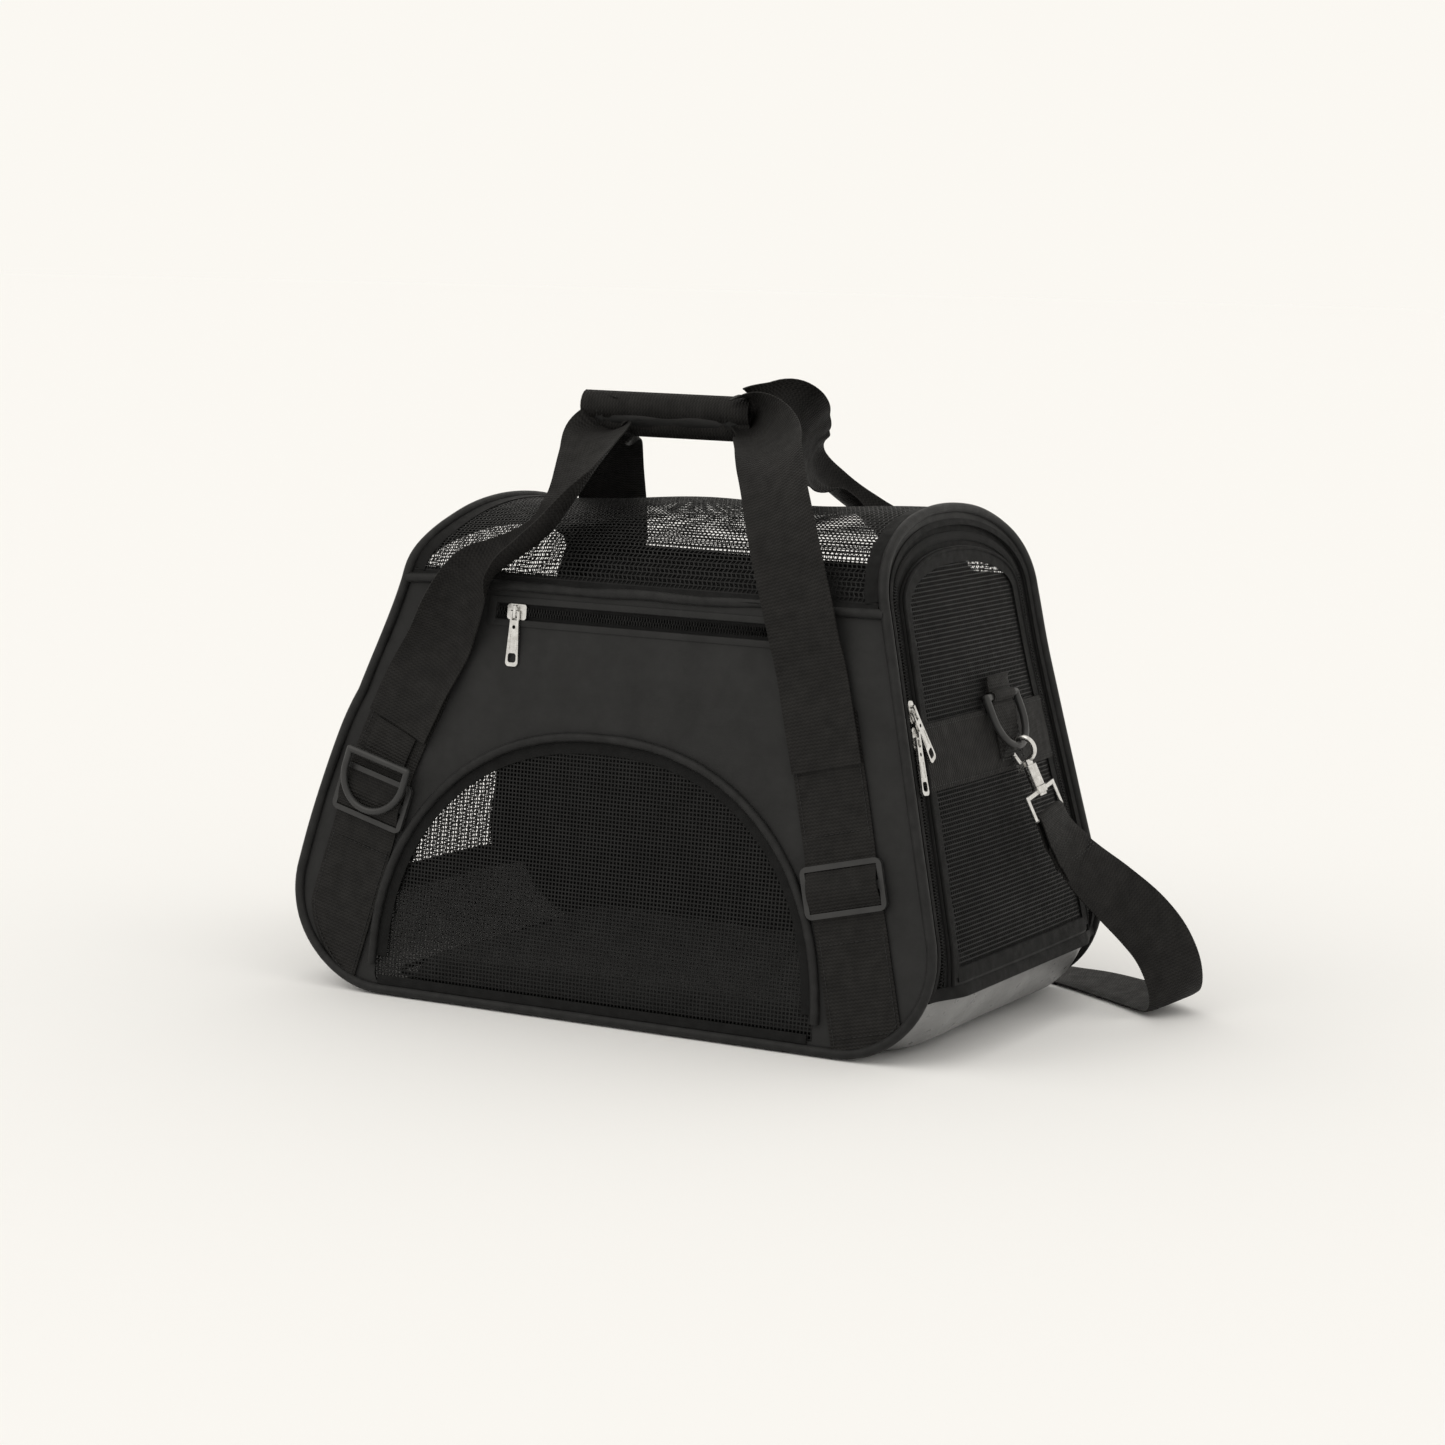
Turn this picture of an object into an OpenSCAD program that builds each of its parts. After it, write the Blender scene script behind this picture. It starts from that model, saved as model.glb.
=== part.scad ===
// Soft-sided pet transport carrier with mesh windows, a zipped end door, two joined
// carry handles and a clip-on shoulder strap.
// Origin: middle of the base, on the floor. +X runs along the length to the zipped
// door, -Y is the front with the arched window and the pocket, +Z is up.

/* [Body] */
// Depth of the base, front to back
body_w = 256; // [250:1:260]
// Distance between the two end planes, measured at floor level
body_l = 444; // [440:1:448]
// Height of the seam where the front and rear panels stop
seam_h = 248; // [246:1:250]
// Depth across the two top seams
seam_w = 204; // [202:1:206]
// Height of the ridge of the mesh top
ridge_h = 301; // [299:1:303]
// How far an end wall leans in for each millimetre of height
end_lean = 0.24; // [0.235:0.005:0.245]
// Radius of the bottom corners of the front and rear panels
corner_r = 55; // [53:1:57]
// Radius of the piping beads
piping_r = 3; // [2.6:0.1:3]

/* [Window and pocket] */
// Width of the arched window at its foot
window_w = 292; // [288:1:294]
// Height of the arched window
window_h = 156; // [150:1:158]
// Left end of the pocket zip
zip_left = -92; // [-96:1:-90]
// Right end of the pocket zip
zip_right = 158; // [154:1:160]

/* [Door] */
// Height of the bottom edge of the door
door_foot = 39.5; // [38.5:0.5:41]
// Distance from the corner seam to the middle of the door zip
zip_inset = 16.4; // [16:0.2:17]

/* [Straps and hardware] */
// Width of the handle webbing
webbing_w = 44; // [42:1:46]
// Thickness of the webbing
webbing_t = 1.6; // [1.4:0.1:1.6]
// Width of the shoulder strap
strap_w = 38; // [36:1:38]
// Wire radius of the D-rings
ring_wire_r = 2.2; // [2:0.1:2.3]
// Length of the padded grip
grip_l = 102; // [98:1:104]
// Radius of the padded grip
grip_r = 11.5; // [11:0.1:12]

/* [Hidden] */
$fn = 40;

// ---- colours ----
cloth = [0.20, 0.20, 0.21];
mesh_black = [0.09, 0.09, 0.10];
bead_black = [0.12, 0.12, 0.13];
web_black = [0.16, 0.16, 0.15];
plastic_grey = [0.27, 0.28, 0.29];
zinc = [0.80, 0.80, 0.82];
pale_grey = [0.72, 0.72, 0.73];
fleece_grey = [0.22, 0.22, 0.23];

// ---- general helpers ----
function unit(v) = v / norm(v);
function arc(cx, cy, r, from, to, n) =
    [for (i = [0:n]) let(a = from + (to - from) * i / n) [cx + r * cos(a), cy + r * sin(a)]];
function mirrored(points) = [for (i = [len(points) - 1:-1:0]) [-points[i][0], points[i][1]]];
function rounded_rect(w, h, r) = concat(
    arc(w / 2 - r, h / 2 - r, r, 0, 90, 6), arc(r - w / 2, h / 2 - r, r, 90, 180, 6),
    arc(r - w / 2, r - h / 2, r, 180, 270, 6), arc(w / 2 - r, r - h / 2, r, 270, 360, 6));
// a smooth curve through hand-chosen points, at position s counted in points
function along(p, s) =
    let(i = min(floor(s), len(p) - 2), t = s - i,
        a = p[max(i - 1, 0)], b = p[i], c = p[i + 1], d = p[min(i + 2, len(p) - 1)])
    0.5 * (2 * b + (c - a) * t + (2 * a - 5 * b + 4 * c - d) * t * t
        + (3 * b - a - 3 * c + d) * t * t * t);
function smooth(p, n) = [for (i = [0:n]) along(p, (len(p) - 1) * i / n)];

// one closed skin over a row of rings that all have the same number of points
module skin(rings) {
    n = len(rings[0]);
    last = len(rings) - 1;
    sides = [for (i = [0:last - 1], j = [0:n - 1]) let(k = (j + 1) % n)
        each [[i * n + j, i * n + k, (i + 1) * n + k], [i * n + j, (i + 1) * n + k, (i + 1) * n + j]]];
    caps = [for (j = [1:n - 2])
        each [[0, j + 1, j], [last * n, last * n + j, last * n + j + 1]]];
    polyhedron(points = [for (r = rings) each r], faces = concat(sides, caps), convexity = 8);
}

function heading(path, i) = unit(path[min(i + 1, len(path) - 1)] - path[max(i - 1, 0)]);

// round bead of radius r along a path whose points all lie in one plane with this normal
module bead(path, normal, r, sides = 8) {
    skin([for (i = [0:len(path) - 1])
        let(out = unit(cross(heading(path, i), normal)))
        [for (j = [0:sides - 1]) path[i]
            + r * cos(360 * j / sides) * out + r * sin(360 * j / sides) * unit(normal)]]);
}

// flat webbing of thickness t: each across vector gives the direction of its width there,
// and its length is the width
function flat_section(w, t) = let(edge = t * 0.3)
    [[w / 2, t / 2 - edge], [w / 2 - edge, t / 2], [edge - w / 2, t / 2], [-w / 2, t / 2 - edge],
        [-w / 2, edge - t / 2], [edge - w / 2, -t / 2], [w / 2 - edge, -t / 2], [w / 2, edge - t / 2]];
module ribbon(path, across, t) {
    skin([for (i = [0:len(path) - 1])
        let(face = unit(cross(heading(path, i), across[i])),
            wide = unit(cross(face, heading(path, i))))
        [for (q = flat_section(norm(across[i]), t)) path[i] + q[0] * wide + q[1] * face]]);
}

// ---- shape of the bag ----
base_half = body_w / 2;
seam_half = seam_w / 2;
end_foot = body_l / 2;
front_slope = (base_half - seam_half) / seam_h;
front_lean = atan(front_slope);
end_angle = atan(end_lean);
front_stretch = sqrt(1 + front_slope * front_slope);
end_stretch = sqrt(1 + end_lean * end_lean);
bead_gap = piping_r + 0.4;
gap = 0.2;
foot = piping_r + 0.2;
wall_t = 1.6;
thin_t = 0.8;
band_t = 1.4;
arch_power = 2.15;
arch_rise = (ridge_h - seam_h) * end_stretch;
seam_v = seam_h * end_stretch;
side_lean = front_slope / end_stretch;
panel_lean = end_lean / front_stretch;
panel_top = seam_h * front_stretch;

// A drawing on the front plane: x to the right, y up the slope, z outward
module on_front() translate([0, -base_half, 0]) rotate([90 - front_lean, 0, 0]) children();
module on_rear() mirror([0, 1, 0]) on_front() children();
// A drawing on the door end: x towards the rear, y up the slope, z outward
module on_right() translate([end_foot, 0, 0]) rotate([0, -end_angle, 0]) rotate([90, 0, 90]) children();
module on_left() mirror([1, 0, 0]) on_right() children();
// a plate between two depths, counted outward from the plane
module plate(from, to) translate([0, 0, from]) linear_extrude(to - from) children();

// outline of the front or rear panel, set in from the corner seams by d
module panel_shape(d, top_d) {
    reach = sqrt(1 + panel_lean * panel_lean);
    cv = foot + corner_r;
    cx = end_foot - panel_lean * cv - corner_r * reach;
    top = panel_top - top_d;
    half = concat(arc(cx, cv, corner_r - d, -90, atan(panel_lean), 14),
        [[end_foot - panel_lean * top - d * reach, top]]);
    polygon(concat(half, mirrored(half)));
}
function corner_tangent() =
    let(reach = sqrt(1 + panel_lean * panel_lean)) foot + corner_r * (1 + panel_lean / reach);

// height on the end plane, against height above the floor
door_v = door_foot * end_stretch;
// right half of the end outline, set in by d, from height v0 up to the ridge
function end_half(d, v0) = concat(
    [[base_half - side_lean * v0 - d, v0]],
    [for (i = [0:24]) let(a = 90 * i / 24)
        [(seam_half - d) * pow(cos(a), 2 / arch_power),
            seam_v + (arch_rise - d) * pow(sin(a), 2 / arch_power)]]);
module end_shape(d, v0) {
    half = end_half(d, v0);
    polygon(concat(half, mirrored(half)));
}
// an arch-shaped strip between two insets, open at the bottom
module end_ring(d0, d1, v0) difference() {
    end_shape(d0, v0);
    end_shape(d1, v0 - 1);
}

// ---- walls ----
window_foot = 8;
window_x = -9;
window_power = 2.25;
function window_half(d) = [for (i = [0:28]) let(a = 90 * i / 28)
    [(window_w / 2 - d) * pow(cos(a), 2 / window_power),
        window_foot + d + (window_h - 2 * d) * pow(sin(a), 2 / window_power)]];
module window_shape(d) translate([window_x, 0])
    polygon(concat(window_half(d), mirrored(window_half(d))));

panel_t = 2.4;
zip_v = panel_top - 15;
zip_slot_w = 15;
module zip_slot(grow) translate([zip_left - grow, zip_v - zip_slot_w / 2 - grow])
    square([zip_right - zip_left + 2 * grow, zip_slot_w + 2 * grow]);

module front_panel() color(cloth) on_front() plate(-panel_t, 0) difference() {
    panel_shape(bead_gap, bead_gap);
    window_shape(0);
    zip_slot(0);
}
module front_window_mesh() color(mesh_black) on_front() plate(-thin_t - 0.8, -0.8) window_shape(gap);
hem_h = 30;
hem_top = 18;
hem_w = 284;
hem_foot = foot + bead_gap + 0.4;
trim_lift = 0.05;
module window_piping() color(bead_black) on_front() plate(trim_lift, 2.8) difference() {
    window_shape(-3);
    window_shape(1.2);
    translate([-body_l / 2, -hem_h]) square([body_l, hem_h + hem_top]);
}
module front_hem() color(bead_black) on_front() plate(trim_lift, 1)
    translate([window_x - hem_w / 2, hem_foot]) square([hem_w, hem_top - hem_foot - gap]);
lining_foot = 172;
lining_depth = 5.2;
module pocket_lining() color(cloth) on_front() plate(-lining_depth - thin_t, -lining_depth) intersection() {
    panel_shape(bead_gap + 4, bead_gap);
    translate([-body_l / 2, lining_foot]) square([body_l, panel_top]);
}
// each row of zip teeth runs from row_in to row_out beside the middle line of its zip
row_in = 0.7;
row_out = 2.7;
tape_in = 2.9;
teeth_t = 2.4;
zip_sink = 1.5;
module tape() plate(-zip_sink - thin_t / 2, -zip_sink + thin_t / 2) children();
module teeth() plate(-zip_sink - teeth_t / 2, -zip_sink + teeth_t / 2) children();
module pocket_zip_tape() color(bead_black) on_front() tape() difference() {
    zip_slot(-gap);
    translate([zip_left, zip_v - tape_in]) square([zip_right - zip_left, 2 * tape_in]);
}
module pocket_zip_teeth() color(bead_black) on_front() teeth()
    for (low = [row_in, -row_out])
        translate([zip_left + 2, zip_v + low]) square([zip_right - zip_left - 4, row_out - row_in]);
module rear_panel() color(cloth) on_rear() plate(-panel_t, 0) panel_shape(bead_gap, bead_gap);

// arched sheet between the two top seams, cut off just inside both end planes
module top_mesh() color(mesh_black) intersection() {
    sheet = 1;
    outer = end_half_true(0);
    inner = end_half_true(sheet);
    rotate([90, 0, 90]) translate([0, 0, -body_l / 2]) linear_extrude(body_l) difference() {
        polygon(concat(outer, mirrored(outer)));
        polygon(concat([[inner[0][0], seam_h - 9]], inner, mirrored(inner), [[-inner[0][0], seam_h - 9]]));
    }
    inside_ends(bead_gap + 0.1, seam_h + bead_gap);
}
// the arch in its true upright section, from the seam to the ridge
function end_half_true(d) = [for (i = [0:30]) let(a = 90 * i / 30)
    [(seam_half - d) * pow(cos(a), 2 / arch_power),
        seam_h + (ridge_h - seam_h - d) * pow(sin(a), 2 / arch_power)]];
// the wedge between the end planes, set in by d, above height z0
module inside_ends(d, z0) {
    high = ridge_h + 5;
    low_x = end_foot - end_lean * z0 - d * end_stretch;
    high_x = end_foot - end_lean * high - d * end_stretch;
    rotate([90, 0, 0]) translate([0, 0, -body_w / 2]) linear_extrude(body_w)
        polygon([[-low_x, z0], [low_x, z0], [high_x, high], [-high_x, high]]);
}

seam_reach = end_foot - end_lean * seam_h - bead_gap * 1.4;
seam_bead_r = piping_r - 0.4;
module seam_pipings() color(bead_black)
    for (side = [-1, 1])
        translate([-seam_reach, side * seam_half, seam_h])
            rotate([0, 90, 0]) cylinder(r = seam_bead_r, h = 2 * seam_reach);

// beads along the bottom and round the lower corners of the front and rear panels
module corner_bead() {
    cv = foot + corner_r;
    reach = sqrt(1 + panel_lean * panel_lean);
    cx = end_foot - panel_lean * cv - corner_r * reach;
    translate([cx, cv, 0]) rotate([0, 0, -90]) rotate_extrude(angle = 90 + atan(panel_lean), $fn = 90)
        translate([corner_r, 0]) circle(r = piping_r, $fn = 16);
    translate([0, foot, 0]) rotate([0, 90, 0]) cylinder(r = piping_r, h = cx, $fn = 16);
}
module panel_bead() {
    corner_bead();
    mirror([1, 0, 0]) corner_bead();
}
module bottom_pipings() color(bead_black) {
    on_front() panel_bead();
    on_rear() panel_bead();
}

// corner seam and arch of one end, as points on its leaning plane
arch_foot = corner_tangent() / front_stretch + 2;
function end_point(u, v) = [end_foot - v * sin(end_angle), u, v * cos(end_angle)];
function arch_route() = let(
    side = [for (i = [0:3]) let(v = arch_foot * end_stretch + (seam_v - arch_foot * end_stretch) * i / 3.3)
        [base_half - side_lean * v, v]],
    over = [for (i = [1:12]) let(a = 90 * i / 12)
        [seam_half * pow(cos(a), 2 / arch_power), seam_v + arch_rise * pow(sin(a), 2 / arch_power)]],
    half = concat(side, over))
    concat([for (q = half) end_point(-q[0], q[1])],
        [for (i = [len(half) - 2:-1:0]) end_point(half[i][0], half[i][1])]);
module arch_bead() bead(arch_route(), [cos(end_angle), 0, sin(end_angle)], piping_r);
module right_arch_piping() color(bead_black) arch_bead();
module left_arch_piping() color(bead_black) mirror([1, 0, 0]) arch_bead();

// ---- underside, board and pad ----
gusset_t = 2;
gusset_r = 50;
gusset_turn = asin((door_foot - 1 - gusset_r) / gusset_r);
gusset_cx = end_foot - end_lean * door_foot - gusset_r * cos(gusset_turn) - 0.6;
module bottom_gusset() color(pale_grey) intersection() {
    rotate([90, 0, 0]) translate([0, 0, -body_w / 2]) linear_extrude(body_w) {
        half = concat(arc(gusset_cx, gusset_r, gusset_r, -90, gusset_turn, 12),
            arc(gusset_cx, gusset_r, gusset_r - gusset_t, gusset_turn, -90, 12));
        polygon(concat(half, mirrored(half)));
    }
    between_panels(bead_gap + 0.2, body_l);
}
// the space between the front and rear planes, set in by d
module between_panels(d, l) {
    low = base_half - d;
    high = base_half - d - front_slope * 100;
    rotate([90, 0, 90]) translate([0, 0, -l / 2]) linear_extrude(l)
        polygon([[-low, 0], [low, 0], [high, 100], [-high, 100]]);
}
board_l = 300;
board_d = 232;
board_t = 3;
board_z = gusset_t + 0.3;
module base_board() color("dimgray") translate([0, 0, board_z])
    plate(0, board_t) polygon(rounded_rect(board_l, board_d, 18));
pad_t = 12;
module fleece_pad() color(fleece_grey) translate([0, 0, board_z + board_t + 0.3])
    plate(0, pad_t) polygon(rounded_rect(board_l + 4, board_d + 4, 20));

// ---- end walls ----
border_out = bead_gap;
tape_out = zip_inset - 7;
door_edge = zip_inset + 6.6;
mesh_edge = door_edge + 9;
door_border_w = 12;
band_low = 153;
band_high = 191;

module right_border() color(cloth) on_right() plate(-wall_t, 0) end_ring(border_out, tape_out - gap, door_v);
module bag_zip_tape() color(bead_black) on_right() tape()
    end_ring(tape_out, zip_inset - tape_in, door_v);
module bag_zip_teeth() color(bead_black) on_right() teeth()
    end_ring(zip_inset - row_out, zip_inset - row_in, door_v + 2);
module door_zip_teeth() color(bead_black) on_right() teeth()
    end_ring(zip_inset + row_in, zip_inset + row_out, door_v + 2);
module door_zip_tape() color(bead_black) on_right() tape()
    end_ring(zip_inset + tape_in, door_edge - gap, door_v + 1);
module door_border() color(cloth) on_right() plate(-wall_t, 0) difference() {
    end_shape(door_edge, door_v + 1);
    end_shape(mesh_edge, door_v + 1 + door_border_w);
}
module door_mesh() color(mesh_black) on_right() plate(-thin_t - 0.6, -0.6)
    end_shape(mesh_edge + gap, door_v + 1 + door_border_w + gap);
// a stitched webbing band straight across an end, between two heights on the slope
module end_band(d) intersection() {
    end_shape(d, band_low);
    translate([-body_w / 2, band_low]) square([body_w, band_high - band_low]);
}
module door_band() color(bead_black) on_right() plate(trim_lift, band_t) end_band(door_edge + 0.5);

left_mesh_edge = 14;
module left_border() color(cloth) on_left() plate(-wall_t, 0) difference() {
    end_shape(border_out, door_v);
    end_shape(left_mesh_edge, door_v + door_border_w);
}
module left_mesh() color(mesh_black) on_left() plate(-thin_t - 0.6, -0.6)
    end_shape(left_mesh_edge + gap, door_v + door_border_w + gap);
module left_band() color(bead_black) on_left() plate(trim_lift, band_t) end_band(border_out + 0.5);

// ---- D-rings and the tabs that hold them ----
ring_inner = 38;
ring_turn = ring_inner / 2 + ring_wire_r;
ring_side = 10;
// D-ring in the x-y plane: its bar lies along x through the origin, its bow hangs in -y
module d_ring() {
    rotate([0, 90, 0]) translate([0, 0, -ring_turn]) cylinder(r = ring_wire_r, h = 2 * ring_turn);
    for (side = [-1, 1])
        translate([side * ring_turn, 0, 0]) {
            sphere(r = ring_wire_r, $fn = 24);
            rotate([90, 0, 0]) cylinder(r = ring_wire_r, h = ring_side);
        }
    translate([0, -ring_side, 0]) rotate([0, 0, 180]) rotate_extrude(angle = 180, $fn = 60)
        translate([ring_turn, 0]) circle(r = ring_wire_r, $fn = 20);
}
// webbing folded round the bar of a D-ring, which sits at the origin; the two layers run up
tab_w = 30;
tab_hole = ring_wire_r + 0.3;
tab_wall = 1.1;
module ring_tab(rise, height) {
    difference() {
        union() {
            rotate([0, 90, 0]) translate([0, 0, -tab_w / 2])
                cylinder(r = tab_hole + tab_wall, h = tab_w);
            translate([-tab_w / 2, 0, -height]) cube([tab_w, rise, tab_hole + tab_wall + height]);
        }
        rotate([0, 90, 0]) translate([0, 0, -tab_w / 2 - 1]) cylinder(r = tab_hole, h = tab_w + 2);
        translate([-tab_w / 2 - 1, -rise, -height - 20]) cube([tab_w + 2, 3 * rise, 20]);
    }
}
tab_rise = 16;
ring_height = 7;
door_ring_u = 16;
door_ring_v = 197;
door_ring_tilt = 10;
module at_door_ring() on_right() translate([door_ring_u, door_ring_v, ring_height]) children();
module at_left_ring() mirror([1, 0, 0]) at_door_ring() children();
module door_ring_tab() color(web_black) at_door_ring() ring_tab(tab_rise, ring_height - 1.5);
module left_ring_tab() color(web_black) at_left_ring() ring_tab(tab_rise, ring_height - 1.5);
module door_ring() color(plastic_grey) at_door_ring() rotate([-door_ring_tilt, 0, 0]) d_ring();
module left_ring() color(plastic_grey) at_left_ring() rotate([-door_ring_tilt, 0, 0]) d_ring();

// ---- sewn webbing and its buckles ----
left_turn = 14.6;
left_foot = -194;
right_turn = -13.5;
right_foot = 174;
sewn_top = 213;
sewn_t = 0.1;
web_top = sewn_t + webbing_t;
// drawings along the sewn webbing of the front: x across it, y up its length, z outward
module on_left_web() on_front() translate([left_foot, 0, 0]) rotate([0, 0, -left_turn]) children();
module on_right_web() on_front() translate([right_foot, 0, 0]) rotate([0, 0, -right_turn]) children();
glide_left = 121;
glide_right = 98.5;
glide_w = 51;
glide_h = 30;
glide_t = 2.6;
glide_bar = 5;
glide_rim = 3.2;
glide_z = web_top + gap;
loop_top = glide_z + glide_t + 1.3;
slot_w = glide_w - 2 * glide_rim;
slot_h = (glide_h - glide_bar) / 2 - glide_rim;
module tri_glide() linear_extrude(glide_t) difference() {
    polygon(rounded_rect(glide_w, glide_h, 4.5));
    for (side = [-1, 1])
        translate([-slot_w / 2, side * (glide_bar + slot_h) / 2 - slot_h / 2]) square([slot_w, slot_h]);
}
module sewn_web(turn, foot_x, glide_at) {
    tongue = glide_bar / 2 + slot_h - 0.4;
    plate(sewn_t, web_top) intersection() {
        translate([foot_x, 0]) rotate([0, 0, -turn])
            translate([-webbing_w / 2, -20]) square([webbing_w, sewn_top + 20]);
        panel_shape(bead_gap + 0.4, bead_gap);
    }
    translate([foot_x, 0, 0]) rotate([0, 0, -turn]) translate([0, glide_at, 0]) difference() {
        translate([-webbing_w / 2, -tongue, sewn_t])
            cube([webbing_w, 2 * tongue, loop_top - sewn_t]);
        translate([-webbing_w, -glide_bar / 2 - 0.3, glide_z - 0.2])
            cube([2 * webbing_w, glide_bar + 0.6, glide_t + 0.4]);
    }
}
module left_web() sewn_web(left_turn, left_foot, glide_left);
module right_web() sewn_web(right_turn, right_foot, glide_right);
module front_left_webbing() color(web_black) on_front() left_web();
module front_right_webbing() color(web_black) on_front() right_web();
module rear_left_webbing() color(web_black) on_rear() left_web();
module rear_right_webbing() color(web_black) on_rear() right_web();
module glide_pair() {
    on_left_web() translate([0, glide_left, glide_z]) tri_glide();
    on_right_web() translate([0, glide_right, glide_z]) tri_glide();
}
module tri_glides() color(plastic_grey) {
    glide_pair();
    mirror([0, 1, 0]) glide_pair();
}
ring_over_glide = 8.5;
front_ring_v = glide_left + glide_h / 2 + ring_over_glide;
front_ring_z = loop_top + ring_wire_r + 0.5;
module at_front_ring() on_left_web() translate([0, front_ring_v, front_ring_z]) children();
module front_ring_tab() color(web_black) at_front_ring()
    ring_tab(tab_rise, front_ring_z - web_top - 0.1);
module front_ring() color(plastic_grey) at_front_ring() d_ring();

// ---- carry handles ----
grip_x = -31;
grip_z = 346;
core_r = 8.6;
module grip_core() color(web_black) translate([grip_x - grip_l / 2, 0, grip_z])
    rotate([0, 90, 0]) cylinder(r = core_r, h = grip_l);
module grip_wrap() color(cloth) translate([grip_x - grip_l / 2 + 1, 0, grip_z])
    rotate([0, 90, 0]) difference() {
        cylinder(r = grip_r, h = grip_l - 2);
        translate([0, 0, -1]) cylinder(r = core_r + 0.1, h = grip_l);
    }
// the free webbing of each handle, from its sewn end to the grip; the length of each
// across vector is the width of the webbing there
front_left_route = [[-132, -108.2, 214], [-129, -109.5, 224], [-114, -111, 240], [-96, -111, 256],
    [-79, -104, 276], [-69, -86, 299], [-70, -60, 317], [-79, -34, 331], [-84.5, -10, 343]];
front_left_across = [[46, 0, -12], [44, 0, -18], [36, -2, -29], [33, -8, -26], [30, -20, -10],
    [22, -20, 18], [20, -10, 24], [14, -8, 22], [4, -8, 16]];
front_right_route = [[124.6, -107.9, 210], [119, -111, 232], [112, -112, 254], [102, -105, 280],
    [86, -84, 308], [64, -56, 331], [42, -28, 344], [22.5, -8, 347]];
front_right_across = [[46, 0, 12], [46, 0, 12], [46, 0, 10], [45, 0, 12],
    [42, 6, 18], [34, 10, 24], [20, 10, 24], [0, 8, 16]];
rear_right_route = [[124.6, 107.9, 210], [118, 110, 229], [104, 111, 250], [84, 104, 272],
    [60, 88, 293], [46, 72, 313], [43, 56, 334], [47, 40, 351], [40, 24, 357], [22.5, 8, 347]];
rear_right_across = [[46, 0, 12], [44, 0, 22], [36, 0, 29], [36, -10, 30],
    [30, -24, 12], [30, -28, -10], [38, -10, -12], [34, 4, 6], [12, -14, 24], [2, -10, 16]];
rear_left_route = [[-132, 108.2, 215], [-132, 110.5, 231], [-131, 111, 250], [-126, 103, 273],
    [-114, 80, 297], [-99, 54, 321], [-89, 28, 338], [-84.5, 10, 344]];
rear_left_across = [[46, 0, -12], [47, 0, -2], [47, 0, 6], [46, 4, 8],
    [40, 4, -16], [28, 2, -12], [18, 4, -2], [4, 8, 14]];
leg_rings = 28;
module leg(route, across)
    ribbon(smooth(route, leg_rings), smooth(across, leg_rings), webbing_t);
module front_left_leg() color(web_black) leg(front_left_route, front_left_across);
module front_right_leg() color(web_black) leg(front_right_route, front_right_across);
module rear_left_leg() color(web_black) leg(rear_left_route, rear_left_across);
module rear_right_leg() color(web_black) leg(rear_right_route, rear_right_across);

// ---- zip sliders and their pulls ----
// Slider on a zip that runs along y, its teeth in the plane z = 0. side = 0 spans both rows of
// teeth; side = -1 reaches only the -x row, so that the other row can lift away.
slider_plate = 1.3;
plate_in = teeth_t / 2 + 0.3;
plate_out = plate_in + slider_plate;
slider_l = 13;
slider_w = 9.6;
blade_w = 0.8;
bail_w = 2;
bail_l = 7.6;
bail_top = plate_out + 3;
pin_z = plate_out + 1.25;
pull_shift = -2.9;
module slider(side, bail_turn) {
    half_w = slider_w / 2 + 1.2;
    high_w = side == 0 ? slider_w : half_w + blade_w / 2;
    high_x = side == 0 ? 0 : (blade_w / 2 - half_w) / 2;
    translate([high_x, 0, plate_in]) linear_extrude(slider_plate)
        polygon(rounded_rect(high_w, slider_l, 2));
    translate([0, 0, -plate_out]) linear_extrude(slider_plate)
        polygon(rounded_rect(slider_w, slider_l, 2));
    translate([-blade_w / 2, 1, -plate_out]) cube([blade_w, 4, 2 * plate_out]);
    translate([side == 0 ? 0 : pull_shift, 0, 0]) rotate([0, 0, bail_turn]) difference() {
        translate([-bail_w / 2, -bail_l / 2, plate_in]) cube([bail_w, bail_l, bail_top - plate_in]);
        translate([-bail_w, 1.1 - bail_l / 2, plate_out]) cube([2 * bail_w, bail_l - 2.2, 2.1]);
    }
}
pin_r = 0.85;
arm_x = 1.7;
pull_l = 27;
pull_w = 8.4;
pull_top_w = 5.8;
pull_eye = 5.4;
pull_t = 1.5;
// outline of a pull: narrow at its neck, wide and round at its free end
module pull_plate() {
    neck = -5;
    r = 2.4;
    foot_y = neck - pull_l + r;
    polygon(concat(
        arc(pull_top_w / 2 - 1, neck - 1, 1, 0, 90, 4), arc(1 - pull_top_w / 2, neck - 1, 1, 90, 180, 4),
        arc(r - pull_w / 2, foot_y, r, 180, 270, 6), arc(pull_w / 2 - r, foot_y, r, 270, 360, 6)));
}
// pull that hangs in -y from the pin that is its hinge, along x through the origin
module pull() {
    rotate([0, 90, 0]) translate([0, 0, -arm_x - 1.1]) cylinder(r = pin_r, h = 2 * arm_x + 2.2);
    for (side = [-1, 1])
        translate([side * (arm_x + 0.6) - 0.6, -6, -pull_t / 2]) cube([1.2, 6, pull_t]);
    translate([0, 0, -pull_t / 2]) linear_extrude(pull_t) difference() {
        pull_plate();
        translate([0, -9]) circle(r = 1.1);
        translate([0, -pull_l]) polygon(rounded_rect(pull_eye, 5.5, 1.6));
    }
    for (side = [-1, 1])
        translate([side * (pull_top_w / 2 - 0.6) - 0.5, -pull_l + 5, -pull_t / 2 - 0.3])
            cube([1, pull_l - 18, pull_t + 0.6]);
}
upper_at = 199;
lower_at = 184;
upper_pull_turn = 30;
module on_leg(v) on_right()
    translate([-(base_half - side_lean * v - zip_inset), v, -zip_sink])
        rotate([0, 0, -atan(side_lean)]) children();
module upper_slider() color(zinc) on_leg(upper_at) slider(-1, upper_pull_turn);
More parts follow.
